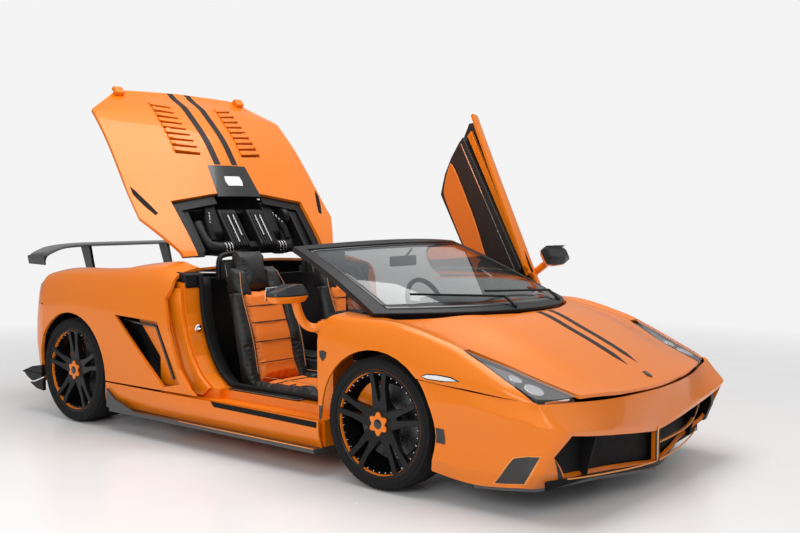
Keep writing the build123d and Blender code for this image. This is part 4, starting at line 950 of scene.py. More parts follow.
def wheel_pieces(width, radius):
    """Tyre and rim parts for one size."""
    w = width / 2
    face = w - 14
    groove = []
    for y in np.linspace(-w + 46, w - 46, GROOVES):
        groove += [(radius, y - 6), (radius - 5, y - 4), (radius - 5, y + 4), (radius, y + 6)]
    inner = [(262, -w + 16), (272, -w + 5), (290, -w), (radius - 26, -w + 2), (radius - 9, -w + 14),
             (radius - 2, -w + 32)]
    outer = [(r, -y) for r, y in reversed(inner)] + [(252, w - 30), (252, -w + 30)]
    rubber = [lathe("tyre", inner + groove + outer, "tyre", TYRE_STEPS)]
    for s in (1, -1):
        sipe = [(-1.2, s * (w - 16)), (1.2, s * (w - 16)), (11, s * (w - 44)), (8.6, s * (w - 44))]
        rubber.append(around(slab("sipe", sipe, radius - 12, radius - 3.2, "Z", "mesh_black", 0), SIPES))
    rubber.append(lathe("sidewall line", [(300, w - 1), (302, w + 0.6), (304, w - 1)], "tyre", TYRE_STEPS))
    barrel = [(250, -face - 6), (262, -face - 8), (266, -face), (259, -face + 12), (254, face - 30),
              (262, face - 6), (266, face + 4), (258, face + 6), (252, face + 2), (246, face - 26),
              (240, face - 60), (246, -face + 10)]
    rim = [lathe("barrel", barrel, "rim_black")]
    ring = lathe("ring", [(246, face - 18), (266, face - 10), (270, face - 2), (266, face + 3),
                          (249, face - 4)], "paint")
    back = [(s, face - (54 if r < 120 else 34), r) for r, s in FORK]
    front = [(s, face + 5 - max(0, 250 - r) * SPOKE_SLOPE, r) for r, s in FORK]
    rim.append(around(soften(prism("spoke", back, front, "rim_black"), 0.004, 2, 25), SPOKES))
    hub = [(0.5, face - 62), (86, face - 62), (86, face - 26), (70, face - 12), (0.5, face - 12)]
    rim.append(lathe("hub", hub, "rim_black"))
    lobes = [(lobed(t) * math.sin(t), lobed(t) * math.cos(t)) for t in angles(72)]
    cap = plate("cap", lobes, face - 12, face - 1, "paint", 0.002, 2)
    button = [(0.5, face - 3), (24, face - 3), (24, face + 1), (19, face + 3), (0.5, face + 3)]
    centre = lathe("cap centre", button, "gloss_black", 40)
    stud = plate("stud", [(-3, 236), (3, 236), (3, 242), (-3, 242)], face - 26, face - 13, "chrome", 0.0008,
                 1)
    return joined("tyre", rubber), joined("rim", rim + [ring, cap, centre, around(stud, STUDS)])


DISC_Y, DRILLINGS = -8, 26


def disc_piece(bell):
    """Drilled disc faces and the bell, which reaches out to the given place on the axle."""
    y0 = DISC_Y
    parts = [lathe("disc", [(94, y0 - 16), (185, y0 - 16), (185, y0 - 4), (180, y0 - 3), (180, y0 + 3),
                            (185, y0 + 4), (185, y0 + 16), (94, y0 + 16)], "disc_metal")]
    # The drilled holes are filled with gloss black plugs: painted shade for the dark seen through them.
    for r, shift in ((112, 0.0), (132, 0.4), (152, 0.8), (171, 1.2)):
        hole = oval(r * math.sin(shift * 0.2), r * math.cos(shift * 0.2), 3.4, 3.4, 8)
        parts.append(around(plate("hole", hole, y0 - 16.4, y0 + 16.4, "gloss_black", 0), DRILLINGS))
    parts.append(lathe("bell", [(94, y0), (100, y0), (100, bell), (26, bell), (26, bell - 9), (90, bell - 9)],
                       "arm_metal"))
    return joined("disc", parts)


# End, axle, middle of the tyre from the car's middle, tyre width and radius, reach of the disc's bell.
WHEELS = (("front", FRONT_AXLE, 812, 235, 325, 33.5), ("rear", REAR_AXLE, 790, 300, 332, 66))
for end, (x, z), y, width, radius, bell in WHEELS:
    for side, s in (("left", 1), ("right", -1)):
        tyre, rim = wheel_pieces(width, radius)
        seat_at = Matrix.Translation((x * MM, s * y * MM, z * MM)) @ Matrix.Diagonal((1, s, 1, 1))
        for piece, kind, finish in ((tyre, "tyre", "tyre"), (rim, "rim", "rim_black"),
                                    (disc_piece(bell), "disc", "disc_metal")):
            piece.name = f"{kind}-{end}-{side}"
            put(moved(piece, seat_at), f"wheel_{end}_{side}", [f"{kind}_{end}_{side}"])
print("wheels done")

# %% [markdown]
# The windscreen is one curved sheet: a dark frame round it, the glass set a little lower, and black print
# along the glass's edge. Quarter panes stand at the feet of the pillars.

# %% Windscreen
BASE_X, BASE_TRAIL, BASE_HALF, BASE_Z = 1532, 442, 842, 848
TOP_X, TOP_TRAIL, TOP_HALF, TOP_Z, TOP_DROP = 520, 110, 722, 1186, 26
BULGE = 64
FRAME_SIDE, FRAME_BASE, FRAME_TOP = 0.925, 0.05, 0.93
GLASS_SIDE, GLASS_BASE, GLASS_TOP = 0.924, 0.051, 0.929
PRINT_SIDE, PRINT_BASE, PRINT_TOP = 0.895, 0.11, 0.89


def screen_point(u, v, depth=0.0):
    """A point of the screen: u from -1 to 1 across, v from base to top, depth under the face."""
    x = (BASE_X - BASE_TRAIL * u * u) * (1 - v) + (TOP_X - TOP_TRAIL * u * u) * v
    y = u * (BASE_HALF * (1 - v) + TOP_HALF * v)
    z = BASE_Z * (1 - v) + (TOP_Z - TOP_DROP * u * u) * v + BULGE * v * (1 - v)
    return np.array((x - depth * 0.32, y * (1 - depth / 2600), z - depth * 0.95)) * MM


def screen_sheet(name, us, vs, keep, depth, wall, material):
    """A sheet on the screen over a grid of places, with only the cells whose middle keep accepts."""
    points = [screen_point(u, v, depth) for u in us for v in vs]
    n = len(vs)
    faces = [(i * n + j, (i + 1) * n + j, (i + 1) * n + j + 1, i * n + j + 1) for i in range(len(us) - 1)
             for j in range(n - 1) if keep((us[i] + us[i + 1]) / 2, (vs[j] + vs[j + 1]) / 2)]
    made = solid(name, points, faces, material)
    bm = bmesh.new()
    bm.from_mesh(made.data)
    bmesh.ops.delete(bm, geom=[v for v in bm.verts if not v.link_faces], context="VERTS")
    bm.to_mesh(made.data)
    bm.free()
    if made.data.polygons[0].normal.z < 0:
        made.data.flip_normals()
    return thicken(made, wall)


rim_u = [-1, -0.96, -FRAME_SIDE] + list(np.linspace(-0.9, 0.9, 49)) + [FRAME_SIDE, 0.96, 1]
rim_v = [0, 0.025, FRAME_BASE] + list(np.linspace(0.08, 0.9, 23)) + [FRAME_TOP, 0.965, 1]


def on_frame(u, v):
    return abs(u) > FRAME_SIDE or v < FRAME_BASE or v > FRAME_TOP


def on_print(u, v):
    return abs(u) > PRINT_SIDE or v < PRINT_BASE or v > PRINT_TOP


frame_sheet = screen_sheet("windscreen frame", rim_u, rim_v, on_frame, 0, 0.034, "satin_black")
put(soften(frame_sheet, 0.006, 3, 40), "shell", ["windscreen_frame"])
glass = screen_sheet("windscreen glass", np.linspace(-GLASS_SIDE, GLASS_SIDE, 49),
                     np.linspace(GLASS_BASE, GLASS_TOP, 25), lambda u, v: True, 6, 0.005, "clear_glass")
print_u = [-GLASS_SIDE, -0.9, -0.88] + list(np.linspace(-0.86, 0.86, 41)) + [0.88, 0.9, GLASS_SIDE]
print_v = [GLASS_BASE, 0.08, 0.115] + list(np.linspace(0.13, 0.88, 15)) + [0.9, GLASS_TOP]
shade = screen_sheet("glass print", print_u, print_v, on_print, 4.5, 0.001, "gloss_black")
PANE = [(830, 821), (830, 968), (1000, 884), (1000, 821)]
panes = [plate(f"quarter pane {s}", PANE, s * 750, s * 756, "clear_glass", 0) for s in (1, -1)]
put(joined("windscreen glass", [glass, shade] + panes), "shell", ["windscreen_glass"])
PANE_EDGE = [(834, 824), (834, 962), (996, 882), (996, 824)]
bars = [tube(f"quarter frame {s}", [(x, s * 753, z) for x, z in PANE_EDGE], 9, "satin_black", 10, closed=True)
        for s in (1, -1)]
put(joined("quarter frames", bars), "shell")

# %% [markdown]
# Lamps: a clear cover flush with the body, over a dark bed with raised white units. The small side lamps
# and the stripes are thin pieces laid on the paint.

# %% Lamps and markings
lamp_line = traced("top", [(1652, 847), (1669, 856), (2042, 868), (2156, 657), (1851, 723)])
units = (oval(1986, 790, 46, 42, 22), oval(1890, 792, 32, 30, 18),
         [(2076, 836), (2088, 812), (2124, 700), (2112, 698)])
floor_line = traced("top", [(2042, 862), (2150, 660), (2010, 690), (1850, 735), (1930, 845)])
beds, covers, whites = [], [], []
for flip in (False, True):
    covers.append(panel(f"lamp cover {flip}", lamp_line, (), "lens", 0.003, mirrored=flip, edge=0.0005))
    beds.append(panel(f"lamp bed {flip}", lamp_line, (), "lamp_grey", 0.012, mirrored=flip, depth=0.024))
    beds.append(panel(f"lamp floor {flip}", floor_line, (), "satin_black", 0.004, mirrored=flip, depth=0.019))
    for k, unit in enumerate(units):
        whites.append(panel(f"lamp unit {k} {flip}", traced("top", unit, WHOLE), (), "lamp_white", 0.016,
                            mirrored=flip, depth=0.009, step=0.02, edge=0.003))
put(joined("lamp covers", covers), "shell", ["headlamp_lenses"])
put(joined("lamp beds", beds), "shell")
put(joined("lamp units", whites), "shell")

# Outlines in the side view.
LAMP_RIM = traced("side", [(1466, 592), (1500, 606), (1560, 609), (1636, 604), (1684, 588), (1600, 578),
                           (1500, 580)])
LAMP_FACE = traced("side", [(1474, 592), (1504, 602), (1560, 604), (1632, 599), (1668, 588), (1600, 583),
                            (1506, 585)])
# A dark band on the sill just under the door's edge: a black channel with painted shadow of the gap under the
# door.
SILL_SHADOW_STRIP = traced("side", [(-40, 292), (785, 284), (785, 254), (-5, 264)])
SHIELD = traced("side", [(812, 650), (838, 656), (862, 648), (858, 622), (836, 600), (814, 624)])
ARCH_PIECE = traced("side", [(803, 372), (826, 372), (816, 302), (803, 302)], WHOLE)
marks, white_marks = [], []
for flip in (False, True):
    marks.append(decal(f"side lamp rim {flip}", LAMP_RIM, "gloss_black", mirrored=flip))
    white_marks.append(decal(f"side lamp {flip}", LAMP_FACE, "white", -0.0024, 0.002, flip))
    # The dark sill band, partly painted shadow under the door.
    marks.append(decal(f"sill strip {flip}", SILL_SHADOW_STRIP, "rubber", mirrored=flip))
    marks.append(decal(f"shield {flip}", SHIELD, "gloss_black", -0.0022, 0.002, flip))
for flip in (False, True):
    marks.append(decal(f"arch piece {flip}", ARCH_PIECE, "gloss_black", -0.0016, 0.0014, flip))
put(joined("marks", marks), "shell")
put(joined("side lamps", white_marks), "shell")

# Outlines in the top view, each drawn at y * s for the two sides.
LID_STRIPE = [(1546, 32), (1546, 76), (1990, 76), (2062, 50), (1985, 32)]
NOSE_BADGE = [(2150, 20), (2166, 0), (2150, -20), (2120, -15), (2120, 15)]
COVER_STRIPE = [(-1256, 48), (-1256, 102), (-1956, 102), (-1956, 48)]
SIDE_VENT = [(-1100, 812), (-1040, 815), (-940, 772), (-872, 730), (-886, 706), (-962, 738), (-1060, 786)]
COVER_BADGE = [(-1085, 62), (-1085, -62), (-1120, -74), (-1160, -66), (-1160, 66), (-1120, 74)]


def sided(points, s):
    """The outline on the left (s = 1) or mirrored to the right (s = -1)."""
    return [(x, s * y) for x, y in points]


stripes = [decal(f"stripe {s}", traced("top", sided(LID_STRIPE, s)), "stripe") for s in (1, -1)]
stripes.append(decal("nose badge", traced("top", NOSE_BADGE, WHOLE), "gloss_black", -0.003, 0.003))
put(joined("lid stripes", stripes), "lid")
cover_marks = []
for s in (1, -1):
    cover_marks.append(decal(f"cover stripe {s}", traced("top", sided(COVER_STRIPE, s)), "stripe",
                             turn=COVER_TURN))
    cover_marks.append(decal(f"side vent {s}", traced("top", sided(SIDE_VENT, s), WHOLE), "mesh_black",
                             turn=COVER_TURN))
cover_marks.append(decal("plain badge", traced("top", COVER_BADGE, WHOLE), "white", -0.003, 0.003,
                         turn=COVER_TURN))
put(joined("cover marks", cover_marks), "cover")
print("lamps and marks done")

# %% [markdown]
# The engine cover's louvres are raised slats beside each slot, over a dark bed. A black liner runs round
# its mouth, and the ribbed intake hangs in it.

# %% Cover details
LOUVRE_BED = [(-1320, 170), (-1790, 195), (-1830, 345), (-1340, 380)]
MOUTH_LINER = [(-562, 556), (-974, 573), (-1024, 205), (-960, 205), (-915, 505), (-562, 490)]
TAB = [(-1880, 915), (-1945, 905), (-1945, 936), (-1890, 944)]
slats, dark = [], []
for s in (1, -1):
    for k in range(LOUVRES):
        x, near, far = louvre(k)
        slat = sided([(x - 15, near), (x - 50, near), (x - 68, far), (x - 40, far)], s)
        slats.append(panel(f"slat {s} {k}", traced("top", slat, WHOLE), (), "paint", 0.012, depth=-0.010,
                           step=0.03, edge=0.003))
    dark.append(panel(f"louvre bed {s}", traced("top", sided(LOUVRE_BED, s)), (), "mesh_black", 0.004,
                      depth=0.03))
    dark.append(panel(f"mouth liner {s}", traced("top", sided(MOUTH_LINER, s)), (), "satin_black", 0.012,
                      depth=0.022))
    slats.append(plate(f"tab {s}", TAB, s * 490, s * 560, "paint", 0.006))
for piece in slats + dark:
    moved(piece, COVER_TURN)
put(joined("louvre slats", slats), "cover")
put(joined("cover liners", dark), "cover")

BACKING = [(-640, -545), (-1010, -560), (-1060, -480), (-1070, -300), (-1230, -260), (-1230, 260),
           (-1070, 300), (-1060, 480), (-1010, 560), (-640, 545)]
CHAMBER = [(-650, 1012), (-925, 1004), (-940, 985), (-940, 905), (-650, 912), (-630, 930), (-630, 990)]
THROTTLE = [(-655, 190, 962), (-648, 268, 966), (-660, 330, 955), (-730, 352, 940), (-860, 360, 930)]
HOSE = [(-700, 330, 985), (-790, 330, 1000), (-880, 300, 985), (-935, 240, 950)]
# Name, outline in the side view, from and to across the car, edge, segments of the edge.
INTAKE_BOXES = (
    ("side box", [(-600, 1010), (-940, 1000), (-950, 930), (-640, 926)], 440, 520, 0.012, 3),
    ("filler", [(-690, 905), (-990, 905), (-1000, 980), (-960, 1000), (-760, 985)], 206, 300, 0.014, 3),
    ("rocker", [(-900, 905), (-1010, 905), (-1020, 985), (-930, 985)], 300, 500, 0.010, 3),
    ("bracket", [(-962, 915), (-930, 915), (-930, 1022), (-962, 1018)], 578, 600, 0.003, 2),
)


def sided_line(points, s):
    return rounded([(x, s * y, z) for x, y, z in points])


intake, bright = [slab("backing", BACKING, 904, 908, "Z", "mesh_black", 0)], []
for s in (1, -1):
    intake.append(plate(f"chamber {s}", CHAMBER, s * 48, s * 200, "engine_black", 0.016, 4))
    rib = plate("rib", [(-640, 1018), (-900, 1010), (-900, 1002), (-640, 1008)], s * 66, s * 72,
                "engine_black", 0.002, 2)
    intake.append(repeat(rib, 6, 0.0, (0, s * 22, 0)))
    for y, length in ((92, 160), (136, 210)):
        mark = [(-880, 1013.5), (-880 + length, 1016.5), (-880 + length, 1014), (-880, 1011)]
        bright.append(plate(f"line {s} {y}", mark, s * y, s * (y + 10), "chrome", 0.001, 1))
    intake.append(tube(f"throttle {s}", sided_line(THROTTLE, s), 46, "engine_black", 20))
    intake.append(tube(f"hose {s}", sided_line(HOSE, s), 22, "rubber", 14))
    for y in (212, 236, 262):
        clamp = [(46, -4), (49, -4), (49, 4), (46, 4)]
        bright.append(lathe(f"clamp {s} {y}", clamp, "chrome", 36, (-650, s * y, 965)))
    for name, outline, near, far, edge, segments in INTAKE_BOXES:
        intake.append(plate(f"{name} {s}", outline, s * near, s * far, "engine_black", edge, segments))
    for k in range(4):
        elbow = (-820 - 26 * k, s * (318 - 12 * k), 996 - 4 * k)
        bright.append(lathe(f"elbow ring {s} {k}", [(18, -3), (21, -3), (21, 3), (18, 3)], "chrome", 28,
                            elbow))
oil_cap = [(0.5, -30), (52, -30), (56, -20), (56, 10), (40, 26), (0.5, 26)]
intake.append(lathe("cap", oil_cap, "engine_black", 40, (-880, 380, 985)))
BEAM = [(-962, 915), (-930, 915), (-930, 950), (-962, 950)]
BRIDGE = [(-700, 925), (-650, 925), (-650, 975), (-700, 975)]
intake.append(plate("beam", BEAM, -600, 600, "engine_black", 0.004, 2))
intake.append(plate("bridge", BRIDGE, -70, 70, "engine_black", 0.008, 3))
for piece in intake + bright:
    moved(piece, COVER_TURN)
put(joined("intake", intake), "cover", ["intake_plenums"])
put(joined("intake trim", bright), "cover")
print("cover details done")

# %% [markdown]
# Each seat is a shell with padded cushions. A cushion starts as a closed block, is remeshed fine, and is
# blown up a little as cloth; then its seams and piping are laid over it.

# %% Seats
VOXEL = 0.006
PRESSURE, CLOTH_FRAMES = 4.0, 20


def inflate(pads, cap=0.024):
    """Remesh the pads and blow them up as cloth, keeping every point within cap of where it began."""
    starts = []
    for pad in pads:
        remesh = pad.modifiers.new("voxels", "REMESH")
        remesh.mode, remesh.voxel_size, remesh.use_smooth_shade = "VOXEL", VOXEL, True
        smooth = pad.modifiers.new("round", "SMOOTH")
        smooth.factor, smooth.iterations = 0.5, 14
        bake(pad)
        starts.append(np.array([v.co for v in pad.data.vertices]))
    for pad in pads:
        cloth = pad.modifiers.new("cloth", "CLOTH")
        cloth.settings.use_pressure, cloth.settings.uniform_pressure_force = True, PRESSURE
        cloth.settings.effector_weights.gravity = 0.0
        cloth.point_cache.frame_start, cloth.point_cache.frame_end = 1, CLOTH_FRAMES
    for step in range(1, CLOTH_FRAMES + 1):
        scene.frame_set(step)
    for pad in pads:
        bake(pad)
    scene.frame_set(1)
    for pad, start in zip(pads, starts):
        shift = np.array([v.co for v in pad.data.vertices]) - start
        far = np.linalg.norm(shift, axis=1, keepdims=True)
        now = start + shift * np.minimum(1, cap / np.maximum(far, 1e-6))
        pad.data.vertices.foreach_set("co", now.astype(np.float32).ravel())
        pad.data.shade_smooth()
        pad.data.update()
        print(pad.name, len(pad.data.polygons), "faces, moved up to", round(float(far.max()) * 1000, 1), "mm")
    return pads


def copy_of(made, matrix):
    twin = made.copy()
    twin.data = made.data.copy()
    scene.collection.objects.link(twin)
    return moved(twin, matrix)


SEAT_Y = 372
CUSHION = [(-70, 225), (380, 222), (462, 268), (468, 318), (420, 350), (60, 328), (-40, 338)]
BACK_LOW = [(-100, 320), (-52, 340), (-128, 620), (-228, 880), (-300, 852), (-214, 600), (-150, 330)]
HEADREST = [(-236, 892), (-292, 1074), (-330, 1104), (-378, 1088), (-378, 1040), (-330, 872), (-290, 862)]
SHELL_BACK = [(-90, 205), (-150, 330), (-214, 600), (-300, 852), (-330, 870), (-380, 1040), (-384, 1000),
              (-345, 850), (-255, 600), (-192, 300), (-150, 205)]
BOLSTER = [(-90, 300), (-30, 330), (-92, 620), (-196, 868), (-262, 860), (-205, 600), (-150, 320)]
SHOULDER = [(-196, 850), (-250, 985), (-300, 1010), (-345, 940), (-330, 850), (-262, 840)]
SIDE_PAD = [(-60, 240), (380, 240), (474, 282), (470, 330), (400, 382), (60, 372), (-40, 360)]


def seam(name, points, radius=2.2, material="piping"):
    return tube(name, rounded(points, 2), radius, material, 8)


middle_pads = [plate("seat base", CUSHION, -172, 172, "orange_leather", 0),
               plate("seat back", BACK_LOW, -172, 172, "orange_leather", 0),
               plate("headrest", HEADREST, -98, 98, "seat_leather", 0),
               plate("front edge", [(398, 226), (466, 258), (476, 300), (474, 330), (440, 360), (404, 352)],
                     -178, 178, "seat_leather", 0)]
side_pads = [plate("bolster", BOLSTER, 166, 228, "seat_leather", 0),
             plate("side pad", SIDE_PAD, 172, 232, "seat_leather", 0),
             plate("shoulder", SHOULDER, 88, 176, "seat_leather", 0)]
inflate(middle_pads + side_pads)
for side, s in (("left", 1), ("right", -1)):
    y = s * SEAT_Y
    shift = Matrix.Translation((0, y * MM, 0))
    pads = [copy_of(p, shift) for p in middle_pads + side_pads]
    pads += [copy_of(p, shift @ Matrix.Diagonal((1, -1, 1, 1))) for p in side_pads]
    cushion = joined(f"seat cushions {side}", pads)
    put(cushion, "shell", [f"seat_{side}"])
    shell_parts = [plate("seat shell", SHELL_BACK, y - 150, y + 150, "carbon", 0.006),
                   plate("seat pan", [(-150, 200), (400, 205), (456, 232), (440, 246), (380, 224),
                                      (-150, 222)],
                        y - 222, y + 222, "satin_black", 0.004),
                   plate("headrest badge", [(-272, 1000), (-282, 1034), (-276, 1034), (-266, 1000)], y - 22,
                         y + 22, "white", 0.002)]
    for k in (-1, 1):
        shell_parts.append(plate("seat rail", [(-120, 140), (400, 140), (400, 202), (-120, 202)], y + k * 170,
                                 y + k * 200, "satin_black", 0.003))
        shell_parts.append(seam("bolster piping", [(-36, y + k * 196, 400), (-78, y + k * 198, 620),
                                                   (-184, y + k * 190, 860), (-240, y + k * 150, 985)]))
        shell_parts.append(seam("pad piping",
                                [(-10, y + k * 182, 382), (200, y + k * 182, 385), (400, y + k * 182, 388),
                                               (474, y + k * 182, 344)]))
    shell_parts.append(seam("front piping", [(398, y - 176, 366), (402, y, 364), (398, y + 176, 366)]))
    for x, z in ((-66, 460), (-104, 580), (-142, 690), (-182, 785)):
        shell_parts.append(seam("seam", [(x + 14, y - 160, z), (x + 21, y, z), (x + 14, y + 160, z)], 3.0,
                                "seat_leather"))
    for x in (80, 190, 300):
        shell_parts.append(seam("seam", [(x, y - 160, 352), (x, y, 358), (x, y + 160, 352)], 3.0,
                                "seat_leather"))
    put(joined(f"seat shell {side}", shell_parts), "shell")
for pad in middle_pads + side_pads:
    bpy.data.objects.remove(pad)
print("seats done")

# %% [markdown]
# The cabin: dash with a hood and two displays, wheel with three spokes, console with a lever, and roll
# hoops behind the seats.

# %% Cabin
# Name, outline in the side view, from and to across the car, finish, edge, segments of the edge.
DASH_PLATES = (
    ("dash", [(644, 818), (604, 790), (592, 770), (602, 640), (690, 566), (806, 564), (806, 818)],
     -636, 636, "dark_leather", 0.018, 4),
    ("dash band", [(592, 700), (600, 696), (600, 724), (590, 726)], -560, 560, "orange_leather", 0.003, 3),
    ("dash hood", [(600, 800), (640, 836), (780, 826), (780, 800)], 210, 530, "dark_leather", 0.014, 4),
    ("display", [(584, 752), (592, 752), (598, 800), (590, 800)], 280, 460, "gloss_black", 0.003, 3),
    ("middle display", [(586, 640), (594, 640), (592, 760), (584, 760)], -95, 95, "gloss_black", 0.004, 3),
)
CONSOLE_PLATES = (
    ("console", [(-350, 200), (588, 200), (588, 560), (480, 520), (240, 452), (-60, 430), (-350, 440)],
     -102, 102, "carbon", 0.014, 4),
    ("console pad", [(-340, 436), (-70, 428), (-60, 446), (-340, 456)], -88, 88, "dark_leather", 0.008, 3),
    ("console keys", [(250, 456), (560, 552), (556, 562), (246, 466)], -62, 62, "gloss_black", 0.003, 3),
)
cabin = [plate(*row) for row in DASH_PLATES]
for outlet_y in (-470, -180, 180, 560):
    outlet = [(588, y, z) for y, z in oval(outlet_y, 742, 34, 26, 24)]
    cabin.append(tube("air outlet", outlet, 5, "chrome", 8, closed=True))
put(joined("dashboard", cabin), "shell", ["dashboard"])

middle = [plate(*row) for row in CONSOLE_PLATES]
key = plate("key", [(288, 478), (302, 482), (300, 488), (286, 484)], -52, 52, "satin_black", 0.0015)
middle.append(repeat(key, 5, 0.0, (38, 0, 12.4)))
middle.append(tube("lever", rounded([(150, 0, 440), (140, 0, 500), (120, 0, 524)]), 12, "chrome", 16))
put(joined("console", middle), "shell", ["console"])

GRIP_R, FLAT_FOOT = 163, 0.93       # the rim's radius, and how far its flattened foot is drawn in
tilt = Matrix.Translation(Vector((470, SEAT_Y, 770)) * MM) @ Matrix.Rotation(math.radians(-24), 4, "Y")
grip = [(0, GRIP_R * math.cos(t), GRIP_R * math.sin(t) * (FLAT_FOOT if math.sin(t) < -0.6 else 1))
        for t in angles(72)]
wheel_parts = [tube("grip", grip, 15, "dark_leather", 16, closed=True),
               slab("boss", [(-52, -44), (52, -44), (60, 0), (48, 44), (-48, 44), (-60, 0)], 2, 34, "X",
                    "dark_leather", 0.008, 4)]
for t in (math.radians(8), math.radians(172), math.radians(270)):
    spoke = [(16, 40 * math.cos(t), 40 * math.sin(t)), (4, 158 * math.cos(t), 150 * math.sin(t))]
    wheel_parts.append(tube("spoke", spoke, 13, "satin_black", 12))
wheel_parts.append(tube("column", [(18, 0, 0), (120, 0, 0)], 32, "satin_black", 20))
for piece in wheel_parts:
    moved(piece, tilt)
put(joined("steering wheel", wheel_parts), "shell", ["steering_wheel"])

hoops = []
for s in (1, -1):
    y = s * 370
    loop = rounded([(-455, y - 132, 930), (-458, y - 132, 1040), (-470, y - 96, 1084), (-470, y + 96, 1084),
                    (-458, y + 132, 1040), (-455, y + 132, 930)], 3)
    hoops.append(tube("hoop", loop, 17, "satin_black", 16))
    hoops.append(slab("hoop fill", [(y - 120, 930), (y + 120, 930), (y + 112, 1050), (y - 112, 1050)], -462,
                      -446, "X", "carbon", 0.003))
put(joined("roll hoops", hoops), "shell", ["roll_hoops"])
print("cabin done")

# %% [markdown]
# The mirrors have a dark cap over a painted shell. The left mirror is turned with the raised door.

# %% Mirrors
def mirror_parts(s):
    """Housing, cap, glass and curved stem of one side mirror, in the door's shut place."""
    low = sided([(622, 908), (613, 1000), (620, 1120), (640, 1138), (700, 1130), (733, 1060), (738, 970),
                 (725, 912)], s)
    shell_piece = slab("mirror shell", low, 890, 926, "Z", "paint", 0)
    cap_piece = slab("mirror cap", low, 927, 990, "Z", "stem_grey", 0)
    for piece, level, shrink, lean in ((shell_piece, 0.9, 0.74, 0), (cap_piece, 0.96, 0.7, -0.012)):
        for v in piece.data.vertices:
            if (v.co.z - level) * (1 if piece is cap_piece else -1) > 0:
                v.co.x = 0.672 + (v.co.x - 0.672) * shrink + lean
                v.co.y = s * 1.022 + (v.co.y - s * 1.022) * (0.86 if piece is cap_piece else 0.8)
                if piece is cap_piece:
                    v.co.z = 0.988 - 2.6 * (s * v.co.y - 0.985) ** 2
        soften(piece, 0.011, 4, 20)
    face = [(s * 925, 905), (s * 1118, 903), (s * 1110, 968), (s * 940, 972)]
    glass_piece = slab("mirror glass", face, 611.5, 615, "X", "chrome", 0.002)
    arm = [(800, s * 872, 776), (742, s * 896, 752), (700, s * 930, 776), (690, s * 962, 840),
           (686, s * 975, 900)]
    stem = tube("mirror stem", rounded(arm, 3), 23, "paint", 20)
    foot = plate("mirror foot", [(716, 740), (790, 700), (826, 742), (826, 800), (752, 792)], s * 866,
                 s * 882, "paint", 0.005, 3)
    return [shell_piece, cap_piece, glass_piece, stem, foot]


for side, s, turn in (("right", -1, None), ("left", 1, DOOR_TURN)):
    parts = mirror_parts(s)
    for piece in parts:
        if turn:
            moved(piece, turn)
    put(joined(f"mirror {side}", parts), "door" if turn else "shell", [f"mirror_{side}"])

# %% [markdown]
# The raised door shows its inner side: a dark card with a bright belt line, a coloured pocket, a handle cup
# and a pull. Everything is built shut and turned.

# %% Door card
CARD = [(692, 396), (692, 800), (680, 822), (-346, 822), (-340, 760), (-310, 640), (-260, 520), (-213, 452),
        (-170, 396)]
POCKET = [(610, 424), (610, 540), (330, 600), (40, 630), (-285, 640), (-262, 584), (-186, 470), (-120, 424)]
CUP = [(640, 440), (640, 590), (470, 610), (430, 520), (470, 440)]
card = [plate("card", CARD, 798, 856, "dark_leather", 0.010, 3),
        plate("card top", [(735, 812), (735, 852), (-344, 890), (-340, 838)], 822, 866, "paint", 0.006, 3),
        plate("belt line", [(680, 764), (680, 770), (-318, 788), (-318, 780)], 794, 797, "chrome", 0.001, 1),
        plate("pocket", rounded_outline(POCKET), 788, 799, "orange_leather", 0.008, 3),
        plate("handle cup", rounded_outline(CUP), 784, 792, "gloss_black", 0.003),
        tube("handle", rounded([(500, 790, 500), (510, 776, 520), (580, 776, 560), (600, 788, 566)]), 7,
             "chrome", 12),
        # The pale strip on the door's front edge is painted highlight on the lit edge of the orange skin.
        plate("edge trim", [(772, 430), (772, 790), (752, 790), (742, 430)], 858, 864, "pale_paint", 0.002)]
DOOR_SEAL = [(738, 404), (738, 800), (728, 856), (-338, 892), (-336, 764), (-302, 636), (-252, 514),
             (-202, 450), (-160, 402), (200, 400)]
card.append(tube("door seal", [(x, 846, z) for x, z in DOOR_SEAL], 6, "rubber", 8, closed=True))
for piece in card:
    moved(piece, DOOR_TURN)
put(joined("door card", card), "door", ["door_left_trim"])
print("doors done")

# %% [markdown]
# Round each door opening runs a black seal. The sills carry ribbed tread plates, and the right jamb, whose
# door is missing, shows its striker.

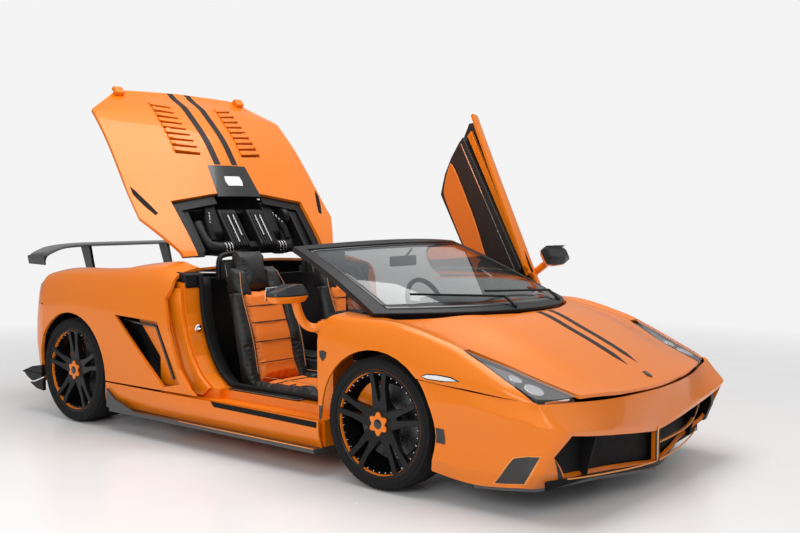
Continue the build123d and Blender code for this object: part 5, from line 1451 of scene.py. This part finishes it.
# %% Door openings
JAMB = [(-366, 960), (-360, 900), (-348, 758), (-320, 636), (-270, 514), (-198, 412), (-110, 346)]
for side, s in (("left", 1), ("right", -1)):
    inner = [(x + 9, z + 3) for x, z in JAMB] + [(-60, 347), (690, 347)]
    liner = inner + [(x - 6, z - 5) for x, z in inner[::-1]]
    parts = [plate("opening liner", liner, s * 652, s * 726, "rubber", 0),
             tube("opening seal", rounded([(x + 8, s * 732, z + 8) for x, z in inner], 2), 14, "rubber", 14),
             plate("jamb filler", [(x - 12, z) for x, z in JAMB[1:]]
                   + [(-180, 300), (-540, 300), (-540, 900)], s * 843, s * 866, "paint", 0.004, 3),
             plate("jamb back", [(-436, 880), (-474, 820), (-436, 660), (-352, 440), (-262, 330), (-540, 330),
                                 (-540, 880)], s * 867, s * 882,
                  "paint", 0.003, 2),
             plate("roof corner", [(-352, 900), (-366, 985), (-452, 996), (-480, 930), (-420, 895)], s * 690,
                   s * (838 if s < 0 else 786), "satin_black", 0.014, 4),
             plate("tread plate", [(-50, 344), (520, 344), (520, 347), (-50, 347)], s * 748, s * 796,
                   "arm_metal", 0.001, 1)]
    rib = plate("tread rib", [(-40, 347), (510, 347), (510, 349), (-40, 349)], s * 751, s * 754,
                "satin_black", 0)
    parts.append(repeat(rib, 8, 0.0, (0, s * 5.4, 0)))
    if s < 0:
        loop = [(-296, s * 790, 668), (-270, s * 790, 668), (-270, s * 814, 668), (-296, s * 814, 668)]
        parts.append(tube("striker plate", [(-300, s * 800, 672), (-288, s * 800, 668)], 24, "chrome", 20))
        parts.append(tube("striker loop", rounded(loop, 1), 5, "chrome", 10))
    parts.append(plate("bay liner", [(-1040, 340), (-545, 340), (-545, 930), (-700, 955), (-1040, 945)],
                       s * 770, s * 775, "satin_black", 0))
    put(joined(f"opening trim {side}", parts), "shell")
print("openings done")

# %% [markdown]
# The nose has a dark lower lip, corner plates, and a blade and a fin in its left mouth. Its thin pale lines
# are painted highlight, and the black over the mouth's middle pillar is painted shade. The intakes beside
# the doors have a duct and a kinked blade.

# %% Mouths and intakes
LEFT_FLANK = NOSE_SKIN.grid[..., 1] > 0.6
LEFT_FRONT = (NOSE_SKIN.grid[..., 0] > 1.9) & (NOSE_SKIN.grid[..., 1] > -0.001)
NOSE_OUT = float(np.sign(NOSE_SKIN.normal(NOSE_SKIN.find((1.8, 0.3), (0, 2), LEFT_FLANK)[None])[0][1]))
NOSE_MIDDLE = NOSE_SKIN.a[-1] / 2


def nose_side(*points):
    """Places on the nose's left flank, from its side view."""
    return [NOSE_SKIN.find((x * MM, z * MM), (0, 2), LEFT_FLANK) for x, z in points]


def nose_front(y, z):
    """A place on the nose's front, from its front view."""
    left = NOSE_SKIN.find((abs(y) * MM, z * MM), (1, 2), LEFT_FRONT)
    return left if y >= 0 else np.array([2 * NOSE_MIDDLE - left[0], left[1]])


def nose_mark(name, places, material, lift=0.0014, wall=0.001, mirrored=False, step=0.02):
    return panel(name, places, (), material, wall, NOSE_SKIN, mirrored, -lift * NOSE_OUT, step, edge=0.0002)


low_b = NOSE_SKIN.b[0] + 0.004
edge_line = [(-850, 288), (-690, 164), (-440, 150), (-26, 130), (26, 130), (440, 150), (690, 164), (850, 288)]
lip = [nose_front(y, z) for y, z in edge_line]
lip += [np.array([nose_front(y, 160)[0], low_b]) for y in (700, 440, 200, 0.001, -200, -440, -700)]
# The mouth's middle pillar is part of the orange nose panel. A black cover over it is painted shade, and a
# thin pale line down its front is painted highlight.
pillar_shade_box = [nose_front(y, z) for y, z in ((-24, 284), (24, 284), (24, 134), (-24, 134))]
pillar_highlight_line = [nose_front(y, z) for y, z in ((-7, 300), (7, 300), (7, 134), (-7, 134))]
corner_rim = nose_side((1849, 149), (1963, 287), (2095, 309), (2007, 168))
corner_plate = nose_side((1858, 154), (1966, 282), (2088, 304), (2002, 172))
arch_block = nose_side((1547, 362), (1592, 358), (1596, 290), (1546, 292))
nose_parts = [nose_mark("lower lip", lip, "satin_black"),
              nose_mark("mouth pillar", pillar_shade_box, "satin_black"),
              nose_mark("pillar line", pillar_highlight_line, "pale_paint", 0.0024)]
LIP_LINE = ((20, 134), (230, 142), (440, 153), (600, 160), (690, 166))
for s in (1, -1):
    flip = s < 0
    # The pale rim round each corner plate is painted highlight on its edge.
    nose_parts.append(nose_mark(f"corner rim {s}", corner_rim, "pale_paint", 0.0014, mirrored=flip,
                                step=0.007))
    nose_parts.append(nose_mark(f"corner plate {s}", corner_plate, "gloss_black", 0.0026, mirrored=flip,
                                step=0.007))
    nose_parts.append(nose_mark(f"arch block {s}", arch_block, "gloss_black", 0.0016, mirrored=flip))
    # The thin pale lines along the lip are painted highlight.
    bowed = [(2202 - 0.00022 * y * y, s * y, z) for y, z in LIP_LINE]
    nose_parts.append(tube("lip line", rounded(bowed, 1), 4, "pale_paint", 8))
BLADE = [(2180, 30, 214), (2172, 240, 216), (2150, 470, 224), (2128, 600, 262), (2112, 700, 352)]
CORNER_FIN = [(2060, 190), (2108, 196), (2146, 290), (2150, 378), (2100, 378), (2080, 300)]
# The mouth blade is a real part; its pale paint is painted highlight.
nose_parts.append(tube("mouth blade", rounded(BLADE, 3), 11, "pale_paint", 12, flat=0.4))
nose_parts.append(plate("corner fin", CORNER_FIN, 770, 806, "satin_black", 0.004))
put(joined("nose trim", nose_parts), "shell")
BAY_TRAY = [(1530, 444), (1990, 444), (1990, 760), (1900, 868), (1530, 868)]
trays = [slab("bay tray", sided(BAY_TRAY, s), 466, 470, "Z", "satin_black", 0) for s in (1, -1)]
put(joined("bay trays", trays), "shell")

# Name, outline in the side view, from and to across the car, finish, edge, segments of the edge.
SCOOP_PLATES = (
    ("duct plate", [(-915, 735), (-495, 716), (-280, 345), (-460, 312)], 842.3, 852, "mesh_black", 0.001, 1),
    ("duct panel", [(-765, 702), (-514, 696), (-322, 366), (-418, 346)], 853, 872, "paint", 0.006, 3),
    ("blade upper", [(-880, 690), (-560, 676), (-560, 664), (-850, 676)], 854, 895, "gloss_black", 0.002, 3),
    ("blade lower", [(-560, 676), (-400, 372), (-412, 366), (-574, 670)], 854, 895, "gloss_black", 0.002, 3),
)
scoops = [plate(name, outline, s * near, s * far, finish, edge, segments)
          for s in (1, -1) for name, outline, near, far, finish, edge, segments in SCOOP_PLATES]
put(joined("side intakes", scoops), "shell", ["side_intakes"])

# A thin pale line along each skirt's lower edge: painted highlight.
lines = [tube("skirt line", [(x, s * 948, 148) for x in (-300, 240, 780)], 2.5, "pale_paint", 8)
         for s in (1, -1)]
put(joined("skirt lines", lines), "shell")
print("mouths done")

# %% [markdown]
# The wing is a smooth section drawn along ten stations, with end plates and slanted posts.

# %% Wing and tail
WING = ((-785, -1912, 1000), (-768, -1914, 1034), (-700, -1936, 1062), (-540, -1986, 1090),
        (-300, -1986, 1098), (300, -1986, 1098), (540, -1986, 1090), (700, -1936, 1062), (768, -1914, 1034),
        (785, -1912, 1000))
CHORD = 214
SECTION = ((0, 0, 6), (0.04, 10, 0), (0.12, 16, -4), (0.35, 24, -8), (0.65, 22, -2), (0.9, 16, 5), (1, 13, 8))
line = np.array(WING, float)
knots = np.arange(len(line), dtype=float)
fine = np.linspace(0, len(line) - 1, 12 * (len(line) - 1) + 1)
spine = np.array([curve(knots, line[:, k], fine) for k in range(3)]).T
loop = [(c, top) for c, top, _ in SECTION] + [(c, low) for c, _, low in SECTION[::-1]]
points = [np.array((x - c * CHORD, y, z + h)) * MM for y, x, z in spine for c, h in loop]
n = len(loop)
faces = [(i * n + j, i * n + (j + 1) % n, (i + 1) * n + (j + 1) % n, (i + 1) * n + j)
         for i in range(len(spine) - 1) for j in range(n)]
faces += [tuple(range(n)), tuple(range((len(spine) - 1) * n, len(spine) * n))]
END_PLATE = [(-1908, 980), (-1912, 1046), (-2060, 1052), (-2128, 1040), (-2110, 984)]
POST = [(-1978, 882), (-2060, 882), (-2100, 985), (-2150, 1102), (-2040, 1102), (-2010, 985)]
wing_parts = [soften(recalc(solid("wing", points, faces, "carbon")), 0.001, 2, 40)]
for s in (1, -1):
    wing_parts.append(plate("end plate", END_PLATE, s * 782, s * 792, "gloss_black", 0.003))
    wing_parts.append(plate("post", POST, s * 334, s * 358, "gloss_black", 0.003))
put(joined("rear wing", wing_parts), "shell", ["rear_wing"])

# %% [markdown]
# Behind the rear wheels stand small flicks, and the tail is finished with pipe ends and fins.

# %% Tail trim
UPPER_FLICK = [(-1722, 334), (-1840, 314), (-1952, 276), (-1900, 238), (-1840, 216), (-1722, 256)]
LOWER_FLICK = [(-1722, 246), (-1838, 206), (-1888, 202), (-1800, 168), (-1722, 160)]
FLICK_BLADE = [(-1722, 880), (-1722, 950), (-1946, 950), (-1880, 860)]
PIPE_END = [(39, -22), (47, -22), (49, -6), (47, 4), (39, 4)]
TRAY_FIN = [(-1880, 150), (-2150, 200), (-2170, 258), (-2060, 262), (-1880, 215)]
tail_trim = []
for s in (1, -1):
    tail_trim.append(plate("upper flick", UPPER_FLICK, s * 918, s * 944, "satin_black", 0.004, 2))
    tail_trim.append(plate("lower flick", LOWER_FLICK, s * 912, s * 936, "satin_black", 0.004, 2))
    tail_trim.append(slab("flick blade", sided(FLICK_BLADE, s), 268, 276, "Z", "satin_black", 0.002))
    for y in PIPES_Y:
        out = Matrix.Translation((-2.158, s * y * MM, PIPE_Z * MM))
        out = out @ Matrix.Rotation(math.radians(90), 4, "Z")
        tail_trim.append(moved(lathe("pipe end", PIPE_END, "pipe_metal", 48), out))
    for y in (150, 300, 450):
        tail_trim.append(plate("tray fin", TRAY_FIN, s * y, s * (y + 6), "carbon", 0.002))
put(joined("tail trim", tail_trim), "shell")
print("tail done")

# %% [markdown]
# Plain CAD pieces that already have their real form keep it: they get their finish and rounded edges.

# %% Finish the plain pieces
slots = {row["node"]: row["material_slot"] for row in frame["record"]["subparts"]}
for name, node in nodes.items():
    if node.hide_render:
        continue
    node.data.materials.clear()
    node.data.materials.append(MAT[slots[name]])
    soften(node, 0.0018, 2, 35)

# %% [markdown]
# A pale floor, a soft bright sky and two wide lamps. The camera looks at the right front corner.

# %% Camera and light
scene.view_settings.view_transform = "Standard"
cam_data = bpy.data.cameras.new("camera")
cam_data.lens, cam_data.sensor_width = 46.03, 36.0
camera = bpy.data.objects.new("camera", cam_data)
scene.collection.objects.link(camera)
camera.location = (4.3686, -4.6172, 1.3633)
camera.rotation_euler = (math.radians(86.766), 0, math.radians(39.465))
scene.camera = camera

ground = solid("floor", [(-30, -30, 0), (30, -30, 0), (30, 30, 0), (-30, 30, 0)], [(0, 1, 2, 3)], "white",
               False)
floor_mat = surface("floor", (0.92, 0.92, 0.92), 0.26, 0.0, Specular_IOR_Level=0.45)
speckle = texture(floor_mat, "ShaderNodeTexNoise", 3.0)
vary(floor_mat, speckle.outputs["Fac"], "Roughness", 0.2, 0.3)
ftree = floor_mat.node_tree
far_coords, length = ftree.nodes.new("ShaderNodeTexCoord"), ftree.nodes.new("ShaderNodeVectorMath")
length.operation = "LENGTH"
fade = ftree.nodes.new("ShaderNodeMapRange")
fade.inputs["From Min"].default_value, fade.inputs["From Max"].default_value = 3.0, 7.0
glow, blend_in = ftree.nodes.new("ShaderNodeEmission"), ftree.nodes.new("ShaderNodeMixShader")
glow.inputs["Color"].default_value = (0.9, 0.9, 0.9, 1)
ftree.links.new(far_coords.outputs["Object"], length.inputs[0])
ftree.links.new(length.outputs["Value"], fade.inputs["Value"])
ftree.links.new(fade.outputs["Result"], blend_in.inputs["Fac"])
ftree.links.new(ftree.nodes["Principled BSDF"].outputs[0], blend_in.inputs[1])
ftree.links.new(glow.outputs[0], blend_in.inputs[2])
ftree.links.new(blend_in.outputs[0], ftree.nodes["Material Output"].inputs["Surface"])
ground.data.materials[0] = floor_mat

world = bpy.data.worlds.new("studio")
scene.world = world
world.use_nodes = True
tree = world.node_tree
sky = tree.nodes["Background"]
sky.inputs["Strength"].default_value = 0.62
path = tree.nodes.new("ShaderNodeLightPath")
seen = tree.nodes.new("ShaderNodeMixRGB")
coords = tree.nodes.new("ShaderNodeTexCoord")
split = tree.nodes.new("ShaderNodeSeparateXYZ")
ramp = tree.nodes.new("ShaderNodeValToRGB")
ramp.color_ramp.elements[0].position, ramp.color_ramp.elements[1].position = 0.0, 0.5
ramp.color_ramp.elements[0].color = (0.42, 0.42, 0.43, 1)
ramp.color_ramp.elements[1].color = (1.0, 1.0, 1.0, 1)
tree.links.new(coords.outputs["Generated"], split.inputs[0])
tree.links.new(split.outputs["Z"], ramp.inputs["Fac"])
tree.links.new(path.outputs["Is Camera Ray"], seen.inputs["Fac"])
tree.links.new(ramp.outputs["Color"], seen.inputs["Color1"])
seen.inputs["Color2"].default_value = (1.46, 1.46, 1.46, 1)
tree.links.new(seen.outputs["Color"], sky.inputs["Color"])


def lamp(name, place, aim, size, power):
    data = bpy.data.lights.new(name, "AREA")
    data.shape, data.size, data.size_y, data.energy = "RECTANGLE", size[0], size[1], power
    made = bpy.data.objects.new(name, data)
    scene.collection.objects.link(made)
    made.location = place
    made.rotation_euler = (Vector(aim) - Vector(place)).to_track_quat("-Z", "Y").to_euler()
    return made


lamp("overhead", (0.5, 0, 5.5), (0, 0, 0.6), (6.0, 3.0), 210)
lamp("side", (2.5, -6.5, 3.2), (0, 0, 0.6), (4.0, 2.0), 110)
